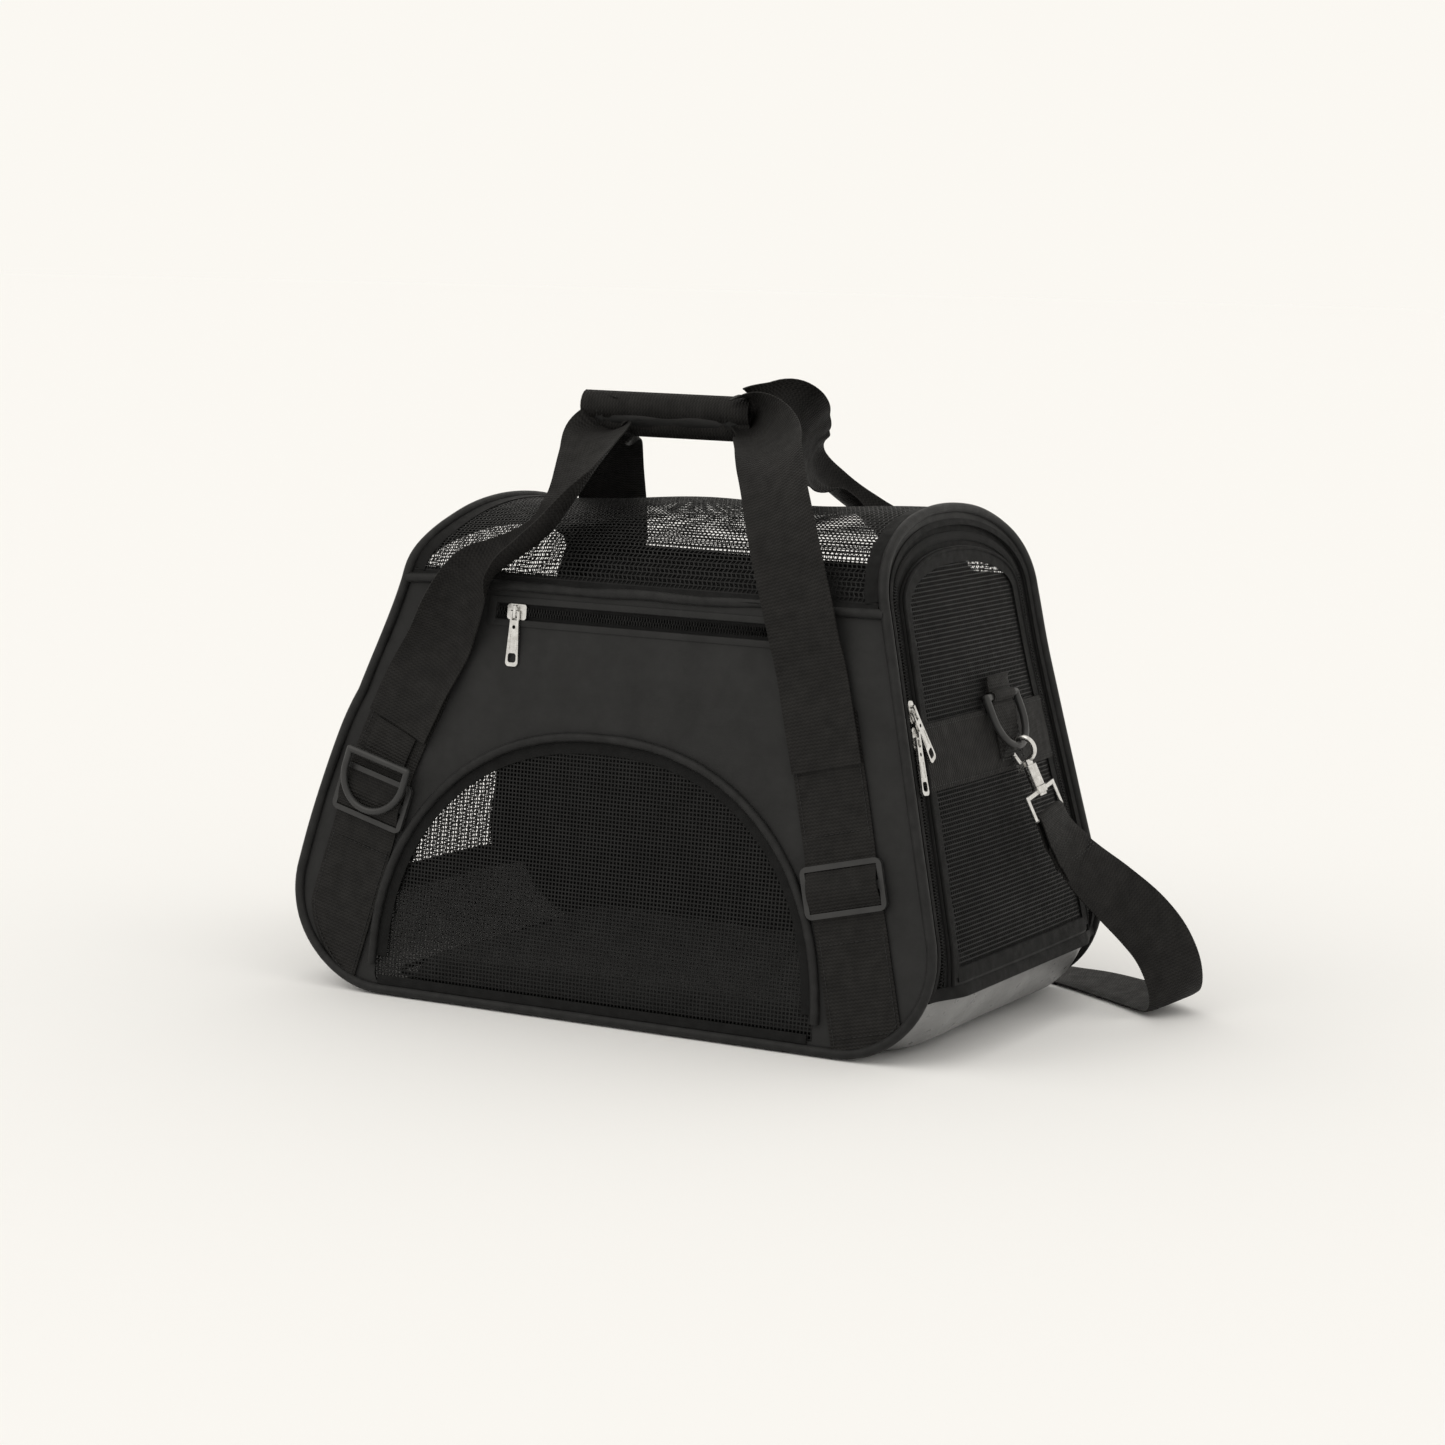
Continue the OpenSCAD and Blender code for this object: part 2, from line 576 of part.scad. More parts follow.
module lower_slider() color(zinc) on_leg(lower_at) mirror([0, 1, 0]) slider(-1, 0);
module upper_pull() color(zinc) on_leg(upper_at)
    translate([pull_shift, 0, pin_z]) rotate([0, 0, upper_pull_turn]) pull();
module lower_pull() color(zinc) on_leg(lower_at) translate([pull_shift, 0, pin_z]) pull();
pocket_slider_x = zip_left + 18;
module on_pocket() on_front() translate([pocket_slider_x, zip_v, -zip_sink]) children();
module pocket_slider() color(zinc) on_pocket() rotate([0, 0, -90]) slider(0, 90);
module pocket_pull() color(zinc) on_pocket() translate([0, 0, pin_z]) pull();

// ---- snap hooks of the shoulder strap ----
// Drawn hanging in -y from the wire of a D-ring that runs along x through the origin
hook_turn = 8;
hook_r = 7;
hook_wire_r = 1.6;
hook_drop = 3;
barrel_top = -13;
barrel_foot = -26;
boss_h = 4;
frame_half = strap_w / 2 + 1.9;
frame_bar_r = 1.2;
frame_foot = -43;
boss_top = barrel_foot - 0.3;
axle_r = 1.8;
hook_open = 22;
gate_y = -12.4;
gate_z = -4.6;
module at_hook() at_door_ring() rotate([-door_ring_tilt, 0, 0]) translate([0, -ring_side, 0])
    rotate([0, 0, hook_turn]) translate([0, -ring_turn, 0]) children();
module at_left_hook() mirror([1, 0, 0]) at_hook() children();
module hook_frame() {
    difference() {
        union() {
            translate([0, boss_top, 0]) rotate([90, 0, 0]) cylinder(r = 4.4, h = boss_h);
            translate([-frame_half, boss_top - boss_h, -frame_bar_r])
                cube([2 * frame_half, 2 * frame_bar_r, 2 * frame_bar_r]);
        }
        translate([0, barrel_foot + 1, 0]) rotate([90, 0, 0])
            cylinder(r = axle_r + 0.3, h = boss_h + 3);
    }
    for (side = [-1, 1])
        translate([side * (frame_half + 0.3), boss_top - boss_h + 2 * frame_bar_r, 0]) rotate([90, 0, 0])
            cylinder(r = frame_bar_r, h = boss_top - boss_h + 2 * frame_bar_r - frame_foot);
    translate([-frame_half - 0.3, frame_foot, 0]) rotate([0, 90, 0])
        cylinder(r = frame_bar_r, h = 2 * frame_half + 0.6);
}
module hook_body() {
    translate([0, -hook_drop, 0]) rotate([0, 90, 0]) rotate([0, 0, hook_open])
        rotate_extrude(angle = 270 - hook_open, $fn = 60) translate([hook_r, 0])
            circle(r = hook_wire_r, $fn = 20);
    difference() {
        union() {
            translate([0, barrel_top + 3.4, 0]) rotate([90, 0, 0]) cylinder(r = 2.6, h = 4);
            translate([0, barrel_top, 0]) rotate([90, 0, 0]) cylinder(r = 4, h = barrel_top - barrel_foot);
            for (side = [-1, 1])
                translate([side * 2.4 - 0.6, barrel_top - 2, gate_z - 1.8]) cube([1.2, 4.5, 4.5]);
        }
        translate([-1.7, gate_y - 2.2, gate_z - 3]) cube([3.4, 4.8, 5.2]);
    }
    translate([-2.6, gate_y, gate_z]) rotate([0, 90, 0]) cylinder(r = 0.7, h = 5.2);
    translate([0, barrel_foot + 1, 0]) rotate([90, 0, 0]) cylinder(r = axle_r, h = boss_h + 2);
    translate([0, barrel_foot - 0.6 - boss_h, 0]) rotate([90, 0, 0]) cylinder(r = 3.2, h = 1.4);
}
module hook_gate() difference() {
    union() {
        translate([-1.4, gate_y, gate_z]) rotate([0, 90, 0]) cylinder(r = 1.6, h = 2.8);
        translate([0, gate_y, gate_z]) rotate([-90 - 14, 0, 0]) cylinder(r = 1.3, h = 9);
        translate([0, gate_y + 3.4, gate_z - 1]) rotate([-180, 0, 0]) cylinder(r = 1.2, h = 3.6);
    }
    translate([-3, gate_y, gate_z]) rotate([0, 90, 0]) cylinder(r = 0.9, h = 6);
}
module right_hook_frame() color(zinc) at_hook() hook_frame();
module right_hook_body() color(zinc) at_hook() hook_body();
module right_hook_gate() color(zinc) at_hook() hook_gate();
module left_hook_frame() color(zinc) at_left_hook() hook_frame();
module left_hook_body() color(zinc) at_left_hook() hook_body();
module left_hook_gate() color(zinc) at_left_hook() hook_gate();

// ---- shoulder strap ----
strap_t = 1.8;
strap_route = [[216, 27, 115], [221, 34, 104], [230, 46, 90], [242, 58, 76], [256, 69, 60],
    [267, 76, 44], [274, 80, 25], [270, 90, 9], [252, 105, 5], [224, 125, 4], [192, 145, 3],
    [152, 164, 1.4], [100, 180, 1.2], [40, 178, 1.2], [-20, 164, 1.2], [-80, 164, 1.2],
    [-136, 178, 1.2], [-186, 176, 1.2], [-226, 154, 3], [-256, 122, 7], [-272, 96, 22],
    [-270, 80, 44], [-256, 69, 60], [-242, 58, 76], [-230, 46, 90], [-221, 34, 104], [-216, 27, 115]];
strap_across = [[-2, 38, 5], [2, 37, 9], [9, 34, 14], [16, 30, 18], [22, 24, 19],
    [23, 25, 17], [22, 27, 14], [21, 29, 10], [21, 31, 7], [21, 31, 6], [20, 32, 4],
    [15, 35, 0], [6, 37, 0], [-6, 37, 0], [-8, 37, 0], [0, 38, 0],
    [0, 38, 0], [-12, 36, 0], [-20, 32, 2], [-22, 29, 8], [-22, 27, 12],
    [-23, 25, 16], [-22, 24, 19], [-16, 30, 18], [-9, 34, 14], [-2, 37, 9], [2, 38, 5]];
strap_rings = 78;
module shoulder_strap() color(web_black)
    ribbon(smooth(strap_route, strap_rings), smooth(strap_across, strap_rings), strap_t);
adjuster_x = -50;
adjuster_y = 162.4;
adjuster_turn = 90;
module strap_adjuster() color(plastic_grey) translate([adjuster_x, adjuster_y, 3.2])
    rotate([0, 0, adjuster_turn]) linear_extrude(2.6) difference() {
        polygon(rounded_rect(strap_w + 9, 30, 4));
        for (side = [-1, 1]) translate([-strap_w / 2 - 0.8, side * 7.8 - 4.2]) square([strap_w + 1.6, 8.4]);
    }

// ---- what is drawn ----
bottom_gusset();
base_board();
fleece_pad();
front_panel();
front_window_mesh();
window_piping();
front_hem();
pocket_lining();
pocket_zip_tape();
pocket_zip_teeth();
rear_panel();
top_mesh();
seam_pipings();
bottom_pipings();
left_arch_piping();
right_arch_piping();
left_border();
left_mesh();
left_band();
left_ring_tab();
left_ring();
right_border();
bag_zip_tape();
bag_zip_teeth();
door_border();
door_mesh();
door_band();
door_zip_tape();
door_zip_teeth();
door_ring_tab();
door_ring();
front_left_webbing();
front_right_webbing();
rear_left_webbing();
rear_right_webbing();
tri_glides();
front_ring_tab();
front_ring();
front_left_leg();
front_right_leg();
rear_left_leg();
rear_right_leg();
grip_core();
grip_wrap();
upper_slider();
upper_pull();
lower_slider();
lower_pull();
pocket_slider();
pocket_pull();
right_hook_frame();
right_hook_body();
right_hook_gate();
left_hook_frame();
left_hook_body();
left_hook_gate();
shoulder_strap();
strap_adjuster();
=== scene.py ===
import math

import bmesh
import bpy
import numpy as np
from mathutils import Matrix, Vector
from mathutils.geometry import delaunay_2d_cdt


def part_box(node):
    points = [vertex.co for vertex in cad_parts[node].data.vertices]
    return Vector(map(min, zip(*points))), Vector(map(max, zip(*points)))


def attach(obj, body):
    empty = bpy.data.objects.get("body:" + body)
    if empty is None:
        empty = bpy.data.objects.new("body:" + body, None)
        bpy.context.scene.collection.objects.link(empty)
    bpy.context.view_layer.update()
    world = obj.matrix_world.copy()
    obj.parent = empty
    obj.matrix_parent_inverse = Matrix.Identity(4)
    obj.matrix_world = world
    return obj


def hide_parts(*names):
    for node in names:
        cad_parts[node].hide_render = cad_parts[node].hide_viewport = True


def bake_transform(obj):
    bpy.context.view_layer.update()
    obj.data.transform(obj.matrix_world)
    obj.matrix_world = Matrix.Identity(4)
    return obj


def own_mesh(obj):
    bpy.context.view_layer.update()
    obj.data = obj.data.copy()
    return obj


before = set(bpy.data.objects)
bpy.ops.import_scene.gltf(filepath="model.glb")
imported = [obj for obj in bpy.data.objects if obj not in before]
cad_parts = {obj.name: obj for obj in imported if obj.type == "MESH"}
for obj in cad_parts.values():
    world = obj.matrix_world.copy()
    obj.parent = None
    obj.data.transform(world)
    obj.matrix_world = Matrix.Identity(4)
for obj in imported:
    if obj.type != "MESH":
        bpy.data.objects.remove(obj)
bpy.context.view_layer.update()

MM = 0.001

# ---------------------------------------------------------------- the bag's planes, in mm
BASE_HALF, SEAM_HALF, SEAM_H, RIDGE_H, END_FOOT, END_LEAN = 128.0, 102.0, 248.0, 301.0, 222.0, 0.24
CORNER_R, PIPING_R = 55.0, 3.0
SLOPE = (BASE_HALF - SEAM_HALF) / SEAM_H
FRONT_LEAN, END_ANGLE = math.atan(SLOPE), math.atan(END_LEAN)
FRONT_STRETCH, END_STRETCH = math.hypot(1, SLOPE), math.hypot(1, END_LEAN)
SIDE_LEAN, PANEL_LEAN = SLOPE / END_STRETCH, END_LEAN / FRONT_STRETCH
PANEL_TOP, SEAM_V = SEAM_H * FRONT_STRETCH, SEAM_H * END_STRETCH
ARCH_RISE, ARCH_POWER = (RIDGE_H - SEAM_H) * END_STRETCH, 2.15
FOOT = PIPING_R + 0.2
DOOR_FOOT = 39.5
DOOR_V = DOOR_FOOT * END_STRETCH
WINDOW_W, WINDOW_H, WINDOW_X, WINDOW_FOOT, WINDOW_POWER = 292.0, 156.0, -9.0, 8.0, 2.25
WINDOW_LEFT, WINDOW_RIGHT = WINDOW_X - WINDOW_W / 2, WINDOW_X + WINDOW_W / 2
ZIP_LEFT, ZIP_RIGHT, ZIP_V, ZIP_SINK = -92.0, 128.0, PANEL_TOP - 15, 1.5
ZIP_INSET = 16.4
BAND_LOW, BAND_HIGH = 153.0, 191.0
# the sewn webbings of a long side: foot, turn in degrees, and height of the buckle
WEB_W = 44.0
LEFT_WEB, RIGHT_WEB = (-194.0, 14.6, 121.0), (174.0, -13.5, 98.5)
# the rounded lower corners of the front and rear panels: the bend's centre, and its top
BEND_REACH = math.hypot(1, PANEL_LEAN)
BEND_V = FOOT + CORNER_R
BEND_Z = BEND_V / FRONT_STRETCH
BEND_X = END_FOOT - PANEL_LEAN * BEND_V - CORNER_R * BEND_REACH
BEND_TURN = math.degrees(math.atan(PANEL_LEAN))
BEND_TOP = BEND_Z + CORNER_R * math.sin(math.radians(BEND_TURN))


def vec(*c):
    return np.stack(np.broadcast_arrays(*[np.asarray(q, float) for q in c]), -1)


def unit(a):
    return a / np.maximum(np.linalg.norm(a, axis=-1, keepdims=True), 1e-12)


def step_up(t):
    t = np.clip(t, 0, 1)
    return t * t * (3 - 2 * t)


def warp(p):
    """The rear shoulder of the arch stands a little fuller than a true arch."""
    p = np.array(p, float)
    full = 5.5 * np.exp(-(((p[..., 2] - 262) / 36) ** 2)) * step_up(p[..., 1] / 90)
    p[..., 1] += full
    return p


def ripple(a, b, seed, size):
    """A smooth, fixed unevenness of about plus or minus one, from a few crossed waves."""
    r = np.random.default_rng(seed)
    total = np.zeros(np.broadcast(a, b).shape)
    for _ in range(6):
        ka, kb, ph = r.uniform(-1, 1), r.uniform(-1, 1), r.uniform(0, 6.28)
        total = total + np.sin((ka * a + kb * b) * 6.28 / size + ph)
    return total / 3


def lean_left(p):
    """The soft left end stands out low down, and is drawn in and down towards its ridge."""
    p = np.array(p, float)
    x, z = p[..., 0].copy(), p[..., 2].copy()
    from_end = END_FOOT - END_LEAN * z + x
    high = z / SEAM_H
    out = 7.5 * np.sin(np.clip(high / 0.72, 0, 1) * math.pi) ** 0.8
    out -= 10.5 * step_up((high - 0.62) / 0.4)
    p[..., 0] -= out * step_up(1 - from_end / 95)
    p[..., 2] -= 9.0 * step_up((z - SEAM_H - 4) / 42) * step_up(1 - from_end / 150)
    return p


def flat_front(u, v, w):
    s, c = math.sin(FRONT_LEAN), math.cos(FRONT_LEAN)
    return vec(u, -BASE_HALF + v * s - w * c, v * c + w * s)


def front(u, v, w):
    return lean_left(flat_front(u, v, w))


def rear(u, v, w):
    return front(u, v, w) * [1, -1, 1]


def corner_reach(z):
    """How far out the corner bead stands at a height; above the bend it follows the end plane."""
    round_part = BEND_X + np.sqrt(np.maximum(CORNER_R ** 2 - (z - BEND_Z) ** 2, 0))
    return np.where(z < BEND_TOP, round_part, END_FOOT - END_LEAN * z)


def near_edge(y, z, width=38.0):
    """0 in the middle of an end, rising to 1 at its front and rear edges."""
    return step_up((np.abs(y) - (BASE_HALF - SLOPE * z - width)) / (width - 4))


def right(u, v, w):
    s, c = math.sin(END_ANGLE), math.cos(END_ANGLE)
    x, y, z = END_FOOT + w * c - v * s, u + 0 * v, v * c + w * s
    inward = (END_FOOT - END_LEAN * z - corner_reach(z)) * near_edge(y, z)
    return vec(x - inward, y, z)


def left(u, v, w):
    p = right(u, v, w) * [-1, 1, 1]
    inside = step_up((BASE_HALF - SLOPE * p[..., 2] - np.abs(p[..., 1])) / 24)
    p[..., 0] -= 8.0 * np.exp(-(((p[..., 2] - 165) / 85) ** 2)) * inside
    return lean_left(p)


# ---------------------------------------------------------------- camera
def make_camera():
    """A long lens from the front right, a little above the bag."""
    a, e, r = (math.radians(q) for q in (27.89, 8.12, 1.44))
    away, lens, shift = 2139.0, 88.2436, (0.009204, 0.014602)
    back = np.array([math.sin(a) * math.cos(e), -math.cos(a) * math.cos(e), math.sin(e)])
    side = unit(np.cross(-back, [0, 0, 1]))
    up = np.cross(side, -back)
    side, up = side * math.cos(r) + up * math.sin(r), up * math.cos(r) - side * math.sin(r)
    data = bpy.data.cameras.new("Camera")
    cam = bpy.data.objects.new("Camera", data)
    place = np.eye(4)
    place[:3, 0], place[:3, 1], place[:3, 2] = side, up, back
    place[:3, 3] = (np.array([0, 0, 150]) + back * away) * MM
    cam.matrix_world = Matrix(place.tolist())
    data.sensor_width, data.lens = 36, lens
    data.shift_x, data.shift_y = shift
    data.clip_end = 50
    bpy.context.collection.objects.link(cam)
    bpy.context.scene.camera = cam


make_camera()


# ---------------------------------------------------------------- materials
class Mat:
    """A principled material whose colour, roughness and relief come from patterns."""

    def __init__(self, name, rough=0.5, metal=0.0, spec=0.5, **more):
        self.m = bpy.data.materials.new(name)
        self.m.use_nodes = True
        self.t = self.m.node_tree
        self.p = self.t.nodes["Principled BSDF"]
        self.p.inputs["Roughness"].default_value = rough
        self.p.inputs["Metallic"].default_value = metal
        self.p.inputs["Specular IOR Level"].default_value = spec
        for k, v in more.items():
            self.p.inputs[k.replace("_", " ")].default_value = v
        self.bump_in = None
        self.uv = self.node("ShaderNodeUVMap", uv_map="cloth").outputs["UV"]
        self.obj = self.node("ShaderNodeTexCoord").outputs["Object"]

    def node(self, kind, **values):
        n = self.t.nodes.new(kind)
        for k, v in values.items():
            setattr(n, k, v)
        return n

    def link(self, a, b):
        self.t.links.new(a, b)

    def math(self, op, a, b=None):
        n = self.node("ShaderNodeMath", operation=op)
        for socket, x in zip(n.inputs, (a, b)):
            if x is None:
                continue
            if isinstance(x, (int, float)):
                socket.default_value = x
            else:
                self.link(x, socket)
        return n.outputs[0]

    def noise(self, size_mm, detail=3, rough=0.5, stretch=None, uv=False):
        """Noise about size_mm across; stretch gives a different size on each axis."""
        scaled = self.node("ShaderNodeMapping")
        self.link(self.uv if uv else self.obj, scaled.inputs[0])
        sizes = stretch or (size_mm,) * 3
        scaled.inputs["Scale"].default_value = [1000 / s for s in sizes]
        n = self.node("ShaderNodeTexNoise")
        n.inputs["Scale"].default_value = 1
        n.inputs["Detail"].default_value = detail
        n.inputs["Roughness"].default_value = rough
        self.link(scaled.outputs[0], n.inputs["Vector"])
        return n.outputs[0]

    def waves(self, pitch_u, pitch_v, kind="weave"):
        """A woven height, 0 to 1, from the piece's own flat coordinates."""
        split = self.node("ShaderNodeSeparateXYZ")
        self.link(self.uv, split.inputs[0])
        ku, kv = 2000 * math.pi / pitch_u, 2000 * math.pi / pitch_v
        a = self.math("MULTIPLY", split.outputs[0], ku)
        b = self.math("MULTIPLY", split.outputs[1], kv)
        if kind == "twill":
            h = self.math("SINE", self.math("ADD", a, b))
        elif kind == "rib":
            slant = self.math("MULTIPLY", self.math("SINE", b), 0.9)
            h = self.math("SINE", self.math("ADD", a, slant))
        else:
            h = self.math("MULTIPLY", self.math("SINE", a), self.math("SINE", b))
        return self.math("MULTIPLY_ADD", h, 0.5)

    def half(self, h):
        """Moves a height from -0.5..0.5 to 0..1."""
        return self.math("ADD", h, 0.5)

    def ramp(self, fac, lo, hi, a=0.0, b=1.0):
        n = self.node("ShaderNodeMapRange")
        self.link(fac, n.inputs[0])
        for i, x in enumerate((a, b, lo, hi)):
            n.inputs[i + 1].default_value = x
        return n.outputs[0]

    def colour(self, fac, dark, light, a=0.3, b=0.7):
        n = self.node("ShaderNodeMix", data_type="RGBA")
        self.link(self.ramp(fac, 0, 1, a, b), n.inputs[0])
        n.inputs[6].default_value, n.inputs[7].default_value = (*dark, 1), (*light, 1)
        return n.outputs[2]

    def shade(self, colour, fac, low, a=0.0, b=1.0):
        """Darkens a colour to low times itself where fac is small: painted shade for the hollows of a relief."""
        n = self.node("ShaderNodeMix", data_type="RGBA", blend_type="MULTIPLY")
        n.inputs[0].default_value = 1
        self.link(colour, n.inputs[6])
        grey = self.node("ShaderNodeCombineColor")
        value = self.ramp(fac, low, 1, a, b)
        for i in range(3):
            self.link(value, grey.inputs[i])
        self.link(grey.outputs[0], n.inputs[7])
        return n.outputs[2]

    def base(self, colour):
        self.link(colour, self.p.inputs["Base Color"])
        return self

    def rough(self, fac, lo, hi, a=0.3, b=0.7):
        self.link(self.ramp(fac, lo, hi, a, b), self.p.inputs["Roughness"])
        return self

    def bump(self, height, mm, strength=1.0):
        n = self.node("ShaderNodeBump")
        n.inputs["Strength"].default_value = strength
        n.inputs["Distance"].default_value = mm * MM
        self.link(height, n.inputs["Height"])
        if self.bump_in is not None:
            self.link(self.bump_in, n.inputs["Normal"])
        self.bump_in = n.outputs[0]
        self.link(self.bump_in, self.p.inputs["Normal"])
        return self


def grey(v, warm=0.0):
    return (v * (1 + warm), v, v * (1 - warm))


def woven(name, dark, light, pitch, kind, low, relief, rough=(0.5, 0.62), spec=0.3, sheen=0.0,
          crumple=0.0, tint=0.0, coat=0.0, patch=18):
    """Cloth of any kind: colour that drifts, a weave that lifts it and puts painted shade in its hollows, and soft
    creases.
    """
    m = Mat(name, spec=spec, Sheen_Weight=sheen, Sheen_Roughness=0.45, Coat_Weight=coat, Coat_Roughness=0.35)
    drift = m.noise(patch, 4, 0.6)
    w = m.half(m.waves(*pitch, kind))
    c = m.colour(drift, grey(dark, tint), grey(light, tint))
    # painted shade: the colour is darkened to low times itself in the hollows of the weave
    m.base(m.shade(c, w, low)).rough(m.noise(6, 3), *rough)
    if crumple:
        m.bump(m.noise(0, 3, 0.5, stretch=(26, 26, 9)), crumple)
    m.bump(m.noise(1.1, 2), 0.05)
    m.bump(w, relief)
    return m.m


# the fifth value of each cloth is how dark the painted shade in the hollows of its weave goes
CLOTH = woven("charcoal_cloth", 0.017, 0.0225, (0.55, 0.55), "weave", 0.8, 0.04, (0.5, 0.62), 0.14, crumple=0.35)
LINING = woven("lining_cloth", 0.006, 0.010, (0.7, 0.7), "weave", 0.7, 0.05, (0.6, 0.7), 0.1, crumple=0.5)
PIPE = woven("piping_cloth", 0.009, 0.017, (0.9, 0.9), "twill", 0.7, 0.06, (0.48, 0.6), 0.2, crumple=0.25, patch=7)
WEB = woven("ribbed_webbing", 0.0085, 0.0155, (2.1, 2.4), "rib", 0.25, 0.35, (0.58, 0.72), 0.14, tint=0.05, patch=9)
TAPE = woven("zip_tape", 0.006, 0.010, (0.9, 0.6), "twill", 0.6, 0.1, (0.6, 0.75), 0.12, patch=8)
NET = woven("knitted_net", 0.005, 0.010, (0.5, 0.5), "twill", 0.6, 0.04, (0.45, 0.6), 0.18, patch=14)
GUSSET = woven("pale_gusset", 0.15, 0.20, (0.6, 0.6), "weave", 0.9, 0.04, (0.26, 0.4), 0.4, crumple=0.8, coat=0.2)
GRIP = woven("grip_sleeve", 0.008, 0.013, (0.6, 0.6), "weave", 0.8, 0.03, (0.36, 0.5), 0.3, crumple=0.6, patch=10)
THREAD = woven("thread", 0.010, 0.018, (0.5, 0.4), "twill", 0.5, 0.05, (0.45, 0.55), 0.25, patch=5)


def moulded(name, dark, light, rough, relief, spec=0.5):
    m = Mat(name, spec=spec)
    m.base(m.colour(m.noise(14, 4), grey(dark), grey(light))).rough(m.noise(5, 4), *rough)
    m.bump(m.noise(0.35, 2), relief).bump(m.noise(9, 2), relief * 2)
    return m.m


PLASTIC = moulded("moulded_acetal", 0.020, 0.030, (0.32, 0.45), 0.012, 0.35)
TEETH = moulded("coil_teeth", 0.009, 0.016, (0.3, 0.45), 0.01, 0.3)
BOARD = moulded("stiff_board", 0.008, 0.013, (0.55, 0.65), 0.02, 0.15)


def plated():
    m = Mat("plated_zinc", metal=1.0)
    m.base(m.colour(m.noise(3, 5, 0.7), (0.50, 0.49, 0.47), (0.78, 0.775, 0.76)))
    m.rough(m.noise(1.2, 4, 0.7), 0.16, 0.36)
    m.bump(m.noise(0, 3, 0.6, stretch=(0.25, 3, 3)), 0.006).bump(m.noise(2.5, 3), 0.02)
    return m.m


def fleece():
    m = Mat("pad_fleece", spec=0.08, Sheen_Weight=0.1, Sheen_Roughness=0.6)
    tuft = m.noise(1.6, 5, 0.7)
    # painted shade between the tufts: the colour darkens to 0.45 times itself where the tufts are low
    m.base(m.shade(m.colour(m.noise(30, 4), grey(0.016), grey(0.026)), tuft, 0.45, 0.3, 0.7))
    m.rough(tuft, 0.8, 0.95).bump(m.noise(5, 4, 0.6), 0.5).bump(tuft, 0.7)
    return m.m


ZINC, FLEECE = plated(), fleece()


# ---------------------------------------------------------------- making pieces
def make(name, verts, faces, body, mat, replaces=(), uv=None, smooth=50):
    """A piece from points in mm; uv holds each point's place on the flat cloth, in mm."""
    me = bpy.data.meshes.new(name)
    me.from_pydata((np.asarray(verts) * MM).tolist(), [], [list(map(int, f)) for f in faces])
    me.validate()
    bm = bmesh.new()
    bm.from_mesh(me)
    bmesh.ops.recalc_face_normals(bm, faces=bm.faces)
    bm.to_mesh(me)
    bm.free()
    layer = me.uv_layers.new(name="cloth")
    if uv is not None:
        loops = np.zeros(len(me.loops), np.int32)
        me.loops.foreach_get("vertex_index", loops)
        layer.data.foreach_set("uv", (np.asarray(uv)[loops] * MM).astype(np.float32).ravel())
    me.materials.append(mat)
    ob = bpy.data.objects.new(name, me)
    bpy.context.collection.objects.link(ob)
    me.polygons.foreach_set("use_smooth", [True] * len(me.polygons))
    me.set_sharp_from_angle(angle=math.radians(smooth))
    if body:
        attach(ob, body)
    if replaces:
        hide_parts(*replaces)
    return ob


class Bits:
    """Several closed shapes gathered into one piece."""

    def __init__(self):
        self.v, self.f, self.uv, self.n = [], [], [], 0

    def add(self, verts, faces, uv=None):
        verts = np.asarray(verts, float)
        self.v.append(verts)
        self.f += [[i + self.n for i in f] for f in faces]
        self.uv.append(np.zeros((len(verts), 2)) if uv is None else np.asarray(uv, float))
        self.n += len(verts)
        return self

    def make(self, name, body, slot, mat, replaces=(), smooth=50):
        v, uv = np.concatenate(self.v), np.concatenate(self.uv)
        return make(name, v, self.f, body, mat, replaces, uv, smooth)


def length_along(p):
    return np.concatenate([[0], np.cumsum(np.linalg.norm(np.diff(p, axis=0), axis=1))])


def respace(p, step, *others):
    """Points evenly step apart along a path, and other rows carried with them."""
    s = length_along(p)
    n = max(2, int(round(s[-1] / step)) + 1)
    t = np.linspace(0, s[-1], n)
    out = [np.stack([np.interp(t, s, c) for c in np.asarray(q, float).T], 1) for q in (p, *others)]
    return out[0] if not others else out


def smooth_path(p, n):
    """The same curve through given points that the CAD uses."""
    p = np.asarray(p, float)
    out = []
    for k in range(n + 1):
        s = (len(p) - 1) * k / n
        i = min(int(s), len(p) - 2)
        t = s - i
        a, b, c, d = p[max(i - 1, 0)], p[i], p[i + 1], p[min(i + 2, len(p) - 1)]
        square, cube = 2 * a - 5 * b + 4 * c - d, 3 * b - a - 3 * c + d
        out.append(0.5 * (2 * b + (c - a) * t + square * t * t + cube * t ** 3))
    return np.array(out)


def headings(p):
    return unit(np.gradient(p, axis=0))


def skin(rings, caps=True):
    """Faces over rows of rings with the same number of points."""
    n, k = len(rings), len(rings[0])
    faces = []
    for i in range(n - 1):
        for j in range(k):
            q = (j + 1) % k
            faces.append([i * k + j, i * k + q, (i + 1) * k + q, (i + 1) * k + j])
    if caps:
        faces += [list(range(k))[::-1], [(n - 1) * k + j for j in range(k)]]
    return faces


def tube(path, radius, normal, sides=12):
    """A round bead along a path; normal is the direction that its section keeps as its own."""
    path = np.asarray(path, float)
    head = headings(path)
    normal = np.broadcast_to(np.asarray(normal, float), path.shape)
    out = unit(np.cross(head, normal))
    up = unit(np.cross(out, head))
    radius = np.broadcast_to(radius, len(path))
    a = np.arange(sides) * 2 * math.pi / sides
    round_it = np.cos(a)[None, :, None] * out[:, None] + np.sin(a)[None, :, None] * up[:, None]
    rings = path[:, None] + radius[:, None, None] * round_it
    s = length_along(path)
    uv = np.stack(np.broadcast_arrays(s[:, None], (np.abs(a - math.pi) * radius.mean())[None]), -1)
    return rings.reshape(-1, 3), skin(rings), uv.reshape(-1, 2)


